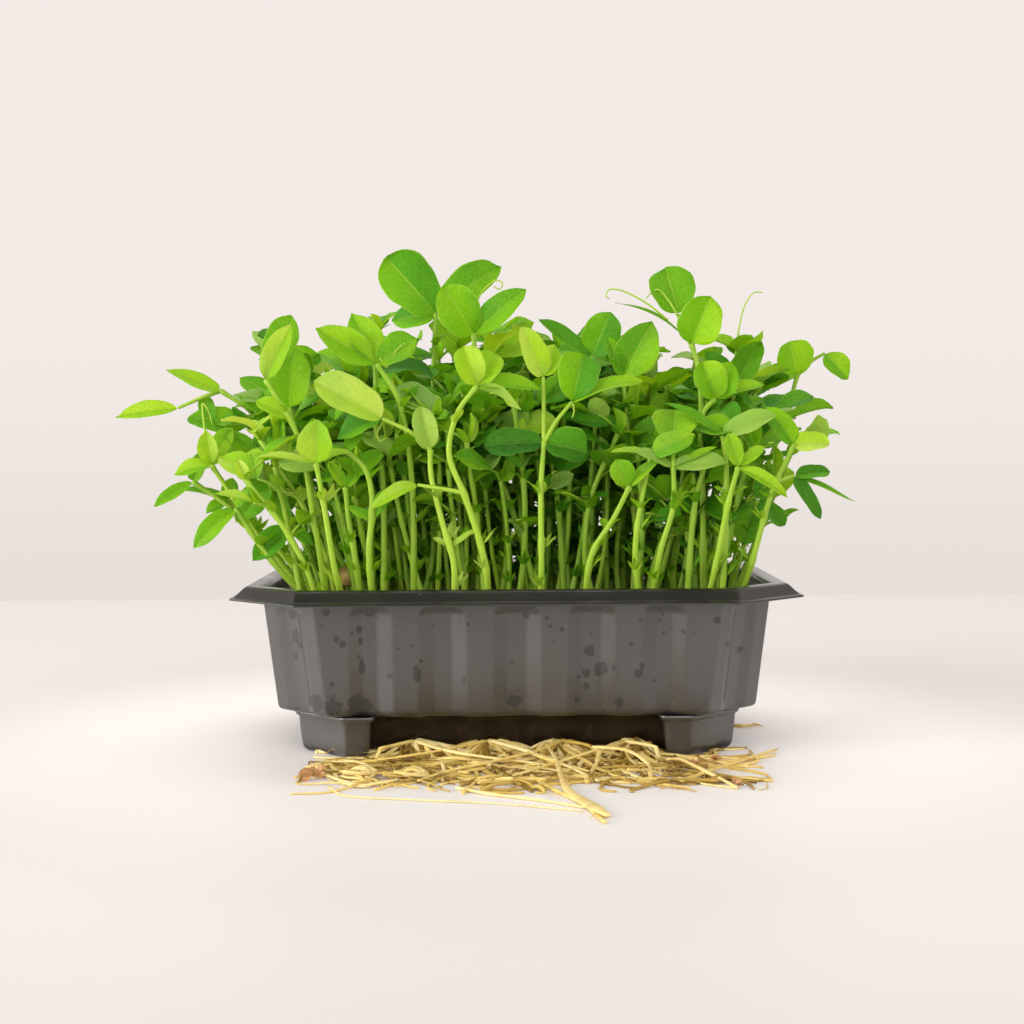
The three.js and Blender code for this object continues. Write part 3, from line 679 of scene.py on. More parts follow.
def block_outline(corners, inset, radius):
    """A level outline, every side moved inwards by the inset and every corner rounded.
    Corners go anticlockwise; each gives the same number of points at every inset."""
    corners = np.asarray(corners, float)
    ahead = np.roll(corners, -1, axis=0) - corners
    ahead /= np.linalg.norm(ahead, axis=1, keepdims=True)
    inwards = np.stack([-ahead[:, 1], ahead[:, 0]], axis=1)
    before = np.roll(inwards, 1, axis=0)
    share = 1 + (before * inwards).sum(axis=1, keepdims=True)
    moved = corners + (before + inwards) * inset / share
    arcs = []
    for i, corner in enumerate(moved):
        last, following = moved[i - 1], moved[(i + 1) % len(moved)]
        room = 0.48 * min(np.linalg.norm(last - corner), np.linalg.norm(following - corner))
        turn = math.acos(np.clip(unit(corner - last) @ unit(following - corner), -1, 1))
        reach = min(radius * math.tan(turn / 2), room)
        arcs.append((corner - unit(corner - last) * reach, corner, corner + unit(following - corner) * reach))
    points = []
    for i, (start, corner, end) in enumerate(arcs):
        for t in np.linspace(0, 1, 7):
            points.append((1 - t) ** 2 * start + 2 * t * (1 - t) * corner + t ** 2 * end)
        after = arcs[(i + 1) % len(arcs)][0]
        for t in np.linspace(0, 1, 9)[1:-1]:
            points.append(end + (after - end) * t)
    return np.array(points)


def octagon(half_x, half_y, cut):
    """The corners of a rectangle with its own corners cut off, for block_outline."""
    return [
        (-half_x + cut, -half_y), (half_x - cut, -half_y), (half_x, -half_y + cut), (half_x, half_y - cut),
        (half_x - cut, half_y), (-half_x + cut, half_y), (-half_x, half_y - cut), (-half_x, -half_y + cut),
    ]


def level_ring(outline, height):
    return np.column_stack([outline, np.full(len(outline), height)])


BASE_HALF_X = 64
BASE_HALF_Y = 45.4
BASE_LIFT = 1.8
BASE_CORNERS = octagon(BASE_HALF_X, BASE_HALF_Y, 5)
FOOT_INNER = 47
FOOT_OUTER = 72.5
FOOT_FRONT = 52.6
FOOT_BACK = 27.5
FOOT_CUT = 16.5


def foot_corners(sign_x, sign_y):
    corners = [
        (FOOT_INNER, -FOOT_FRONT), (FOOT_OUTER - FOOT_CUT, -FOOT_FRONT),
        (FOOT_OUTER, -FOOT_FRONT + FOOT_CUT), (FOOT_OUTER, -FOOT_BACK), (FOOT_INNER, -FOOT_BACK),
    ]
    turned = [(x * sign_x, -y * sign_y) for x, y in corners]
    return turned if sign_x * sign_y < 0 else turned[::-1]


def block_sheet(corners, floor, radius):
    """A thin box, open at the top, with softly rounded lower edges."""
    top = WALL_FOOT_HEIGHT + 0.1
    outer = [
        (0, 6.4), (0, 4.2), (0.08, 3.2), (0.4, 2.3), (0.95, 1.65), (1.8, 1.25), (3.0, 1.0),
        (7.0, 0.5), (top - floor - 2.4, 0.15), (top - floor - 1.9, -0.1), (top - floor - 1.5, -0.7),
        (top - floor - 0.8, -1.1), (top - floor, -1.3),
    ]
    rows = [(floor + rise, inset) for rise, inset in outer]
    rows += [(height + SHEET, inset + SHEET) for height, inset in reversed(rows)]
    rings = []
    for height, inset in rows:
        rings.append(level_ring(block_outline(corners, inset, radius), min(height, top)))
    return np.array(rings)


def add_rings(shape, rings, cap=True):
    rows, columns = rings.shape[:2]
    faces = grid_faces(rows, columns, closed=True)
    if cap:
        faces.append(tuple(reversed(range(columns))))
        faces.append(tuple((rows - 1) * columns + i for i in range(columns)))
    shape.add(rings.reshape(-1, 3), faces, (0, 0, 0.5))


NOTCHES = [NOTCH_SHIFT + step * NOTCH_PITCH for step in (-1.5, -0.5, 0.5, 1.5)]
SIDE_NOTCHES = [step * NOTCH_PITCH for step in (-0.5, 0.5)]


def drain_cutter():
    """The arched notches where the base meets its floor, as one mesh of separate bars."""
    shape = Shape()
    right = [(0.5, 0.5), (0.42, 0.8), (0.22, 0.96)]
    arch = [(x * NOTCH_WIDTH, z * NOTCH_HEIGHT) for x, z in
            [(-0.5, -0.4), (0.5, -0.4), *right, (0, 1), *((-x, z) for x, z in reversed(right))]]
    for turn, places, distance in (
        (0, NOTCHES, BASE_HALF_Y), (math.pi, NOTCHES, BASE_HALF_Y),
        (math.pi / 2, SIDE_NOTCHES, BASE_HALF_X), (-math.pi / 2, SIDE_NOTCHES, BASE_HALF_X),
    ):
        for place in places:
            ends = [[(place + x, y, z) for x, z in arch] for y in (-distance - 2.5, -distance + 6.5)]
            points = np.array(ends).reshape(-1, 3)
            x, y = points[:, 0].copy(), points[:, 1].copy()
            points[:, 0] = x * math.cos(turn) - y * math.sin(turn)
            points[:, 1] = x * math.sin(turn) + y * math.cos(turn)
            count = len(arch)
            faces = [(i, i + count, (i + 1) % count + count, (i + 1) % count) for i in range(count)]
            faces += [tuple(range(count)), tuple(reversed(range(count, 2 * count)))]
            shape.add(points, faces, (0, 0, 0))
    return add_to_scene("drain_cutter", mesh_of("drain_cutter", np.vstack(shape.points), shape.faces, False))


def make_tray():
    base = Shape()
    add_rings(base, block_sheet(BASE_CORNERS, BASE_LIFT, 3))
    base_box = base.piece("tray_base", TRAY, "tray_plastic")
    cutter = drain_cutter()
    cut = base_box.modifiers.new("drain", "BOOLEAN")
    cut.operation, cut.solver, cut.object = "DIFFERENCE", "EXACT", cutter
    graph = bpy.context.evaluated_depsgraph_get()
    notched = bpy.data.meshes.new_from_object(base_box.evaluated_get(graph))
    base_box.modifiers.clear()
    base_box.data = notched
    bpy.data.objects.remove(cutter)

    shell = Shape()
    add_rings(shell, tray_tub(), cap=False)
    for sign_x in (-1, 1):
        for sign_y in (-1, 1):
            add_rings(shell, block_sheet(foot_corners(sign_x, sign_y), 0, 2.6))
    shell.piece("tray_shell", TRAY, "tray_plastic", replaces=["tray"])


make_tray()


# ---- root mat and seeds --------------------------------------------------------------


THREAD_COUNT = 330
SUNKEN_SEED_COUNT = 70
# A seed that was lifted by the shoots at the left of the front.
LIFTED_SEED = (-57, -28, MAT_TOP + 13)


def make_mat(rng):
    """A lumpy bed of matted roots: the top, and the block that fills the base."""
    shape = Shape()
    inset = 15.6
    corners = octagon(TRAY_LENGTH / 2 - inset, TRAY_WIDTH / 2 - inset, CORNER_CHAMFER - RIM_RUN - 2)
    outline = block_outline(corners, 0, 6)
    waves = [(size / 2, scale, rng.uniform(0, math.pi), rng.uniform(0, 6))
             for scale, size in ((9, 0.9), (5, 0.7), (2.6, 0.5), (1.4, 0.3)) for _ in range(3)]
    rows = [(share, 0) for share in np.linspace(0.02, 0.97, 62)]
    rows += [(0.985, 0.5), (0.995, 1.4), (1, 2.6), (1, 5), (0.99, 8)]
    bed = []
    for share, drop in rows:
        ring = level_ring(outline * share, MAT_TOP - 0.6 - drop)
        for size, scale, angle, phase in waves:
            travel = ring[:, 0] * math.cos(angle) + ring[:, 1] * math.sin(angle)
            ring[:, 2] += size * np.sin(travel / scale * 2 + phase)
        bed.append(ring)
    add_rings(shape, np.array(bed[::-1]))
    block = [level_ring(block_outline(BASE_CORNERS, inset, 3), height)
             for height, inset in ((5.2, 7), (5.4, 4.2), (6.4, 3.6), (15.6, 3.4), (15.8, 6))]
    add_rings(shape, np.array(block))
    shape.piece("root_mat_bed", MAT, "root_mat", replaces=["root_mat"])


def make_threads(rng):
    """Loose roots that lie over the top of the mat, within the tray's wall."""
    threads = Shape()
    for _ in range(THREAD_COUNT):
        path = [np.array([rng.uniform(-72, 72), rng.uniform(-47, 47), MAT_TOP + rng.uniform(-0.8, 0.4)])]
        heading = rng.uniform(0, 2 * math.pi)
        for _ in range(4):
            heading += rng.uniform(-0.8, 0.8)
            step = rng.uniform(3, 7)
            path.append(path[-1] + [step * math.cos(heading), step * math.sin(heading), 0])
            path[-1][2] = MAT_TOP + rng.uniform(-0.4, 0.9)
        path = np.clip(path, [-74, -49, 0], [74, 49, 60])
        if np.max(np.abs(path[:, 0]) / 78 + np.abs(path[:, 1]) / 53) > 1.70:
            continue
        add_tube(threads, smooth_path(path, 3), rng.uniform(0.2, 0.5), 4, rng.uniform(0.1, 0.6))
    threads.piece("mat_threads", ROOT, "root")


# Seeds lie on the mat: x, y and how far one is turned, as in the part.
SEEDS = [(34, -46, 0.3), (-22, -36, 1.1)]


def add_pea(shape, centre, turn, rng, rings=14, sides=20):
    """A dimpled, wrinkled dry pea."""
    around = np.linspace(0, 2 * math.pi, sides, endpoint=False)
    latitude, longitude = np.meshgrid(np.linspace(0, math.pi, rings), around, indexing="ij")
    bumps = 1 + 0.03 * np.sin(3 * longitude + rng.uniform(0, 6)) * np.sin(4 * latitude)
    bumps += 0.025 * np.sin(7 * longitude + 5 * latitude + rng.uniform(0, 6))
    size = PEA_RADIUS * bumps
    x = size * np.sin(latitude) * np.cos(longitude)
    y = 0.93 * size * np.sin(latitude) * np.sin(longitude)
    z = 0.9 * size * np.cos(latitude)
    y, z = y * math.cos(turn) - z * math.sin(turn), y * math.sin(turn) + z * math.cos(turn)
    points = np.stack([x, y, z], axis=-1).reshape(-1, 3) + centre
    shape.add(points, grid_faces(rings, sides, closed=True), (0, 0, 0.5))


def make_seeds(rng):
    for index, (x, y, turn) in enumerate(SEEDS, 1):
        shape = Shape()
        add_pea(shape, (x, y, MAT_TOP + PEA_RADIUS + 0.2), turn, rng)
        shape.piece(f"pea_seed_{index:02d}", SEED, "seed_coat", replaces=[f"seed_{index:02d}"])
    sunk = Shape()
    for _ in range(SUNKEN_SEED_COUNT):
        place = (rng.uniform(-68, 68), rng.uniform(-44, 44), MAT_TOP + rng.uniform(-1.5, 1.5))
        add_pea(sunk, place, rng.uniform(0, 3), rng, 8, 12)
    add_pea(sunk, LIFTED_SEED, 0.4, rng)
    sunk.piece("sunken_seeds", SEED, "seed_coat")


# ---- roots ---------------------------------------------------------------------------

# Each root leaves a notch and then lies on the table, as in the part.
ROOTS = [
    [(-33.9, -40, 3.2), (-34.8, -47, 2.8), (-41, -56, 1.8), (-54, -68, FLOOR), (-68, -82, FLOOR)],
    [(-31.2, -40, 3.2), (-31, -48, 2.8), (-33, -60, FLOOR), (-30, -80, FLOOR), (-42, -101, FLOOR)],
    [(-10.6, -40, 3.2), (-11, -48, 3), (-17, -62, FLOOR), (-12, -82, FLOOR), (-16, -106, FLOOR)],
    [(-8, -40, 3.2), (-7, -48, 3), (0, -66, FLOOR), (8, -96, FLOOR), (18, -122, FLOOR), (23, -144, FLOOR)],
    [(14, -40, 3.2), (14.4, -48, 3), (20, -64, 2.2), (30, -84, FLOOR), (50, -102, FLOOR)],
    [(36, -40, 3.2), (36.5, -48, 3), (44, -64, FLOOR), (57, -82, FLOOR), (76, -92, FLOOR)],
    [(38.7, -40, 3.2), (39.8, -47.5, 2.6), (47, -57, FLOOR), (66, -62, FLOOR), (83, -52, FLOOR)],
    [(58, 11.6, 3.2), (66, 11, 2.8), (73, 8, FLOOR), (80, 3, FLOOR), (86, 6, FLOOR)],
]
# Past this line in front of the tray the fine roots are squeezed together, by this much at most.
MASS_FRONT = -92
MASS_SQUEEZE = 14
ROOTS_PER_NOTCH = 28
HANGING_PER_NOTCH = 12
LOW_ROOT_COUNT = 110
HAIR_COUNT = 110


def level_move(reach, heading, rise=0.0):
    return np.array([reach * math.cos(heading), reach * math.sin(heading), rise])


def rest_on_table(path, radius):
    path = np.array(path, float)
    path[:, 2] = np.maximum(path[:, 2], radius)
    return path


def make_main_roots(rng):
    for index, points in enumerate(ROOTS, 1):
        shape = Shape()
        path = smooth_path(points, 9)
        share = np.linspace(0, 1, len(path))
        radius = ROOT_RADIUS * (1.15 - 0.5 * share + 0.12 * np.sin(17 * share + index))
        add_tube(shape, rest_on_table(path, 0.7 * radius), radius, 9, 0.8, 0.75)
        for _ in range(10):
            start = path[rng.integers(4, len(path) - 2)]
            heading = rng.uniform(-2.6, -0.5)
            ends = [start + level_move(reach, heading, rng.uniform(-0.3, 0.6)) for reach in (0, 3, 6.5)]
            hair = rest_on_table(smooth_path(ends, 3), 0.14)
            add_tube(shape, hair, np.linspace(0.22, 0.08, len(hair)), 4, 0.7)
        shape.piece(f"main_root_{index:02d}", ROOT, "root", replaces=[f"root_{index:02d}"])


def clear_of_feet(points):
    """Holds points low where they pass in front of a foot."""
    points = np.array(points, float)
    before_foot = (np.abs(points[:, 0]) > FOOT_INNER - 3) & (np.abs(points[:, 0]) < FOOT_OUTER)
    ceiling = np.clip((-points[:, 1] - 56) * 0.22, 0.5, 6)
    points[:, 2] = np.where(before_foot, np.minimum(points[:, 2], ceiling), points[:, 2])
    return points


def wandering_root(start, heading, length, top, rng):
    """Points of a root that leaves a notch, drops to the table and curves away over it. What
    passes the front of the mass is squeezed back towards it."""
    points = [np.array(start, float)]
    steps = 7
    turn = rng.normal(0, 0.20)
    lull = rng.uniform(0, 6)
    for i in range(1, steps + 1):
        heading += turn + rng.normal(0, 0.20)
        stride = length / steps
        fall = math.exp(-2.2 * (i - 1) * stride / 12)
        rest = top * (0.5 + 0.5 * math.sin(lull + 1.3 * i)) * max(0, 1 - i / steps)
        points.append(points[-1] + level_move(stride, heading))
        points[-1][2] = max(fall * start[2] * 0.8, rest, 0.4)
    points = np.array(points)
    beyond = np.maximum(MASS_FRONT - points[:, 1], 0)
    points[:, 1] += beyond - MASS_SQUEEZE * np.tanh(beyond / MASS_SQUEEZE)
    return clear_of_feet(np.clip(points, [-66, -106, 0.3], [76, -38, 6]))


def make_root_mass(rng):
    """The roots that hang and fan out from each notch of the front."""
    mass = Shape()
    for notch in NOTCHES:
        for _ in range(ROOTS_PER_NOTCH):
            start = (notch + rng.normal(0, 1.9), -43.5, rng.uniform(2.6, 4.9))
            heading = -math.pi / 2 + rng.choice([-1, 1]) * abs(rng.normal(0.68, 0.5))
            heading = np.clip(heading, -math.pi + 0.10, -0.10)
            points = wandering_root(start, heading, rng.uniform(28, 70), rng.uniform(1.2, 4.5), rng)
            path = smooth_path(points, 5)
            width = rng.choice([0.34, 0.55, 0.80, 1.00], p=[0.2, 0.28, 0.30, 0.22])
            radius = width * np.linspace(1.1, 0.6, len(path))
            tone = rng.choice([0.12, 0.45, 0.85, 1.0], p=[0.18, 0.20, 0.32, 0.30])
            add_tube(mass, rest_on_table(path, 0.8 * radius), radius, 7, tone, 0.8)
        for _ in range(HANGING_PER_NOTCH):
            x = notch + rng.uniform(-3.4, 3.4)
            path = smooth_path([(x, -46.6, 4.9), (x + rng.normal(0, 0.3), -48.2, 3.6),
                                (x + rng.normal(0, 0.7), -49 + rng.normal(0, 0.5), 0.5)], 3)
            add_tube(mass, path, rng.uniform(0.22, 0.42), 5, rng.uniform(0.6, 1.0))
    mass.piece("root_mass", ROOT, "root")


def make_root_tangle(rng):
    """Roots that lie low across the others, and short hairs."""
    low = Shape()
    for _ in range(LOW_ROOT_COUNT):
        start = (rng.uniform(-61, 60), rng.uniform(-97, -52), rng.uniform(0.4, 2.0))
        heading = rng.choice([0, math.pi]) + rng.normal(0, 0.5)
        points = wandering_root(start, heading, rng.uniform(18, 46), rng.uniform(0.6, 2.8), rng)
        path = smooth_path(points, 4)
        radius = rng.uniform(0.30, 0.95) * np.linspace(0.9, 0.5, len(path))
        # These low roots take darker tones than the mass above them: partly the roots' own colour, partly
        # painted shade under the mass.
        add_tube(low, rest_on_table(path, 0.8 * radius), radius, 6, rng.uniform(0, 0.85), 0.8)
    for _ in range(HAIR_COUNT):
        start = np.array([rng.uniform(-60, 66), rng.uniform(-90, -46), rng.uniform(0.5, 3)])
        heading = rng.uniform(-math.pi, 0)
        reach = rng.uniform(3, 8)
        middle = start + level_move(reach / 2, heading, rng.uniform(-1, 1))
        end = start + level_move(reach, heading + 0.4, rng.uniform(-2, 0.5))
        path = rest_on_table(smooth_path([start, middle, end], 3), 0.12)
        add_tube(low, path, np.linspace(0.17, 0.06, len(path)), 3, rng.uniform(0.5, 1.0))
    low.piece("root_tangle", ROOT, "root")


# Long strands that lie apart from the mass, chosen one by one: points, radius, tone.
LOOSE_ROOTS = [
    ([(-56, -96, 0.6), (-50, -108, 0.4), (-30, -114, 0.4), (-5, -120, 0.4), (18, -130, 0.4)], 0.42, 1.0),
    ([(-18, -100, 0.8), (-8, -108, 0.6), (6, -116, 0.5), (19, -126, 0.5)], 0.75, 1.0),
    ([(35, -48, 4.6), (44, -58, 4.6), (52, -74, 3.0), (62, -96, 1.0), (64, -102, 0.6)], 0.95, 0.95),
    ([(48, -94, 0.8), (60, -80, 1.8), (72, -62, 1.2), (85, -43, 0.8)], 0.85, 0.75),
    ([(37, -46, 4.6), (50, -52, 3.4), (66, -54, 1.4), (74, -56, 0.8)], 0.7, 0.5),
    ([(-34, -46, 4.8), (-44, -54, 4.0), (-58, -62, 2.2), (-64, -72, 0.8)], 0.9, 0.8),
    ([(-60, -60, 1.8), (-62, -74, 1.4), (-54, -88, 1.0), (-46, -96, 1.0), (-36, -92, 1.6)], 0.8, 1.0),
    ([(-66, -70, 1.0), (-58, -64, 2.2), (-48, -70, 2.2), (-44, -84, 1.2), (-52, -94, 0.8)], 0.8, 0.95),
    ([(-56, -80, 1.0), (-52, -92, 0.8), (-46, -97, 0.7), (-42, -92, 0.9), (-46, -85, 1.2)], 0.7, 1.0),
    ([(36, -46, 4.4), (28, -58, 4.6), (12, -72, 2.6), (-2, -84, 0.8)], 0.85, 0.85),
    ([(14, -46, 4.6), (6, -60, 4.0), (-8, -72, 3.0), (-22, -80, 1.6), (-30, -90, 0.8)], 0.85, 0.8),
    ([(24, -58, 4.6), (34, -64, 4.8), (40, -74, 2.6), (40, -88, 0.8)], 0.95, 0.95),
    ([(26, -62, 4.4), (24, -76, 2.8), (20, -92, 0.8)], 0.8, 0.9),
    ([(-10, -46, 4.6), (-20, -56, 4.4), (-36, -64, 3.2), (-52, -66, 1.6)], 0.8, 0.75),
    ([(14, -46, 4.6), (19, -51, 4.8), (23, -56, 4.6), (25, -61, 2.6)], 0.9, 0.35),
    ([(-8, -46, 4.8), (-1, -56, 4.4), (10, -70, 3.0), (24, -82, 1.0)], 0.8, 0.8),
    ([(-9, -46, 4.8), (2, -60, 4.2), (14, -74, 2.4), (24, -92, 0.8)], 0.95, 1.0),
    ([(-33, -46, 4.8), (-24, -58, 4.2), (-10, -66, 3.2), (4, -68, 1.8), (16, -74, 0.8)], 0.9, 0.95),
]
# The broad flat root that reaches farthest to the front.
RIBBON_ROOT = [
    (9.3, -51, 4.6), (11.9, -72, 3.4), (13, -92, 1.8), (15, -108, 1.0), (19.2, -122, 0.9), (24, -137, 0.8),
]
# Roots curled up on themselves: place, size, turns, thickness, tone.
CLUMPS = [
    ((-33, -82), 5.6, 3, 0.95, 0.9), ((-49, -80), 6.0, 3, 0.8, 0.9), ((-60, -74), 5.0, 2, 0.75, 0.85),
]
# Dry scraps: x, y, size.
SCRAPS = [(-63.5, -84, 3.6), (-61, -78, 2.8), (64, -99, 2.0), (55, -70, 2.4), (62, -64, 2.0)]


def add_clump(shape, centre, size, turns, thickness, tone, rng):
    """A root curled over itself in loose flat loops."""
    points = []
    for i in range(turns * 5):
        angle = i * 2 * math.pi / 5 + rng.uniform(-0.4, 0.4)
        reach = size * rng.uniform(0.45, 1.0)
        height = abs(math.sin(i * 1.3)) * size * 0.34 + thickness * 0.5
        across, back = reach * math.cos(angle), 0.8 * reach * math.sin(angle)
        points.append((centre[0] + across, centre[1] + back, height))
    path = smooth_path(points, 5)
    radius = thickness * (1 + 0.25 * np.sin(np.linspace(0, 20, len(path))))
    add_tube(shape, rest_on_table(path, 0.5 * radius), radius, 7, tone, 0.55)


def make_loose_roots(rng):
    loose = Shape()
    for points, radius, tone in LOOSE_ROOTS:
        path = clear_of_feet(smooth_path(points, 9))
        share = np.linspace(0, 1, len(path))
        sizes = radius * (1 - 0.35 * share + 0.1 * np.sin(23 * share))
        add_tube(loose, rest_on_table(path, 0.6 * sizes), sizes, 8, tone, 0.65)
    ribbon = smooth_path(RIBBON_ROOT, 9)
    wide = np.interp(np.linspace(0, 1, len(ribbon)), [0, 0.4, 0.65, 0.9, 1], [0.6, 0.8, 1.7, 2.3, 1.2])
    add_tube(loose, ribbon, wide, 10, 0.95, 0.32)
    for clump in CLUMPS:
        add_clump(loose, *clump, rng)
    loose.piece("loose_roots", ROOT, "root")


def make_scraps(rng):
    """Curled scraps of seed coat that lie among the roots."""
    scraps = Shape()
    for x, y, size in SCRAPS:
        for _ in range(5):
            start = np.array([x, y, 0.6]) + rng.normal(0, size * 0.35, 3) * [1, 1, 0]
            reach = rng.normal(0, 1, 3) * [1, 1, 0.25]
            add_blade(scraps, start + [0, 0, 0.8], unit(reach) * size, size * 0.7, (0.2, -0.5, 1), 0.5, rng,
                      6, 4, 0.6, 1.6, 0.5, 0.8)
    scraps.piece("dry_scraps", SCRAP, "seed_coat")


for makers, seed in (
    ((make_mat, make_threads), 11), ((make_seeds,), 12), ((make_main_roots,), 13),
    ((make_root_mass, make_root_tangle), 14), ((make_loose_roots, make_scraps), 15),
):
    source = np.random.default_rng(seed)
    for make in makers:
        make(source)
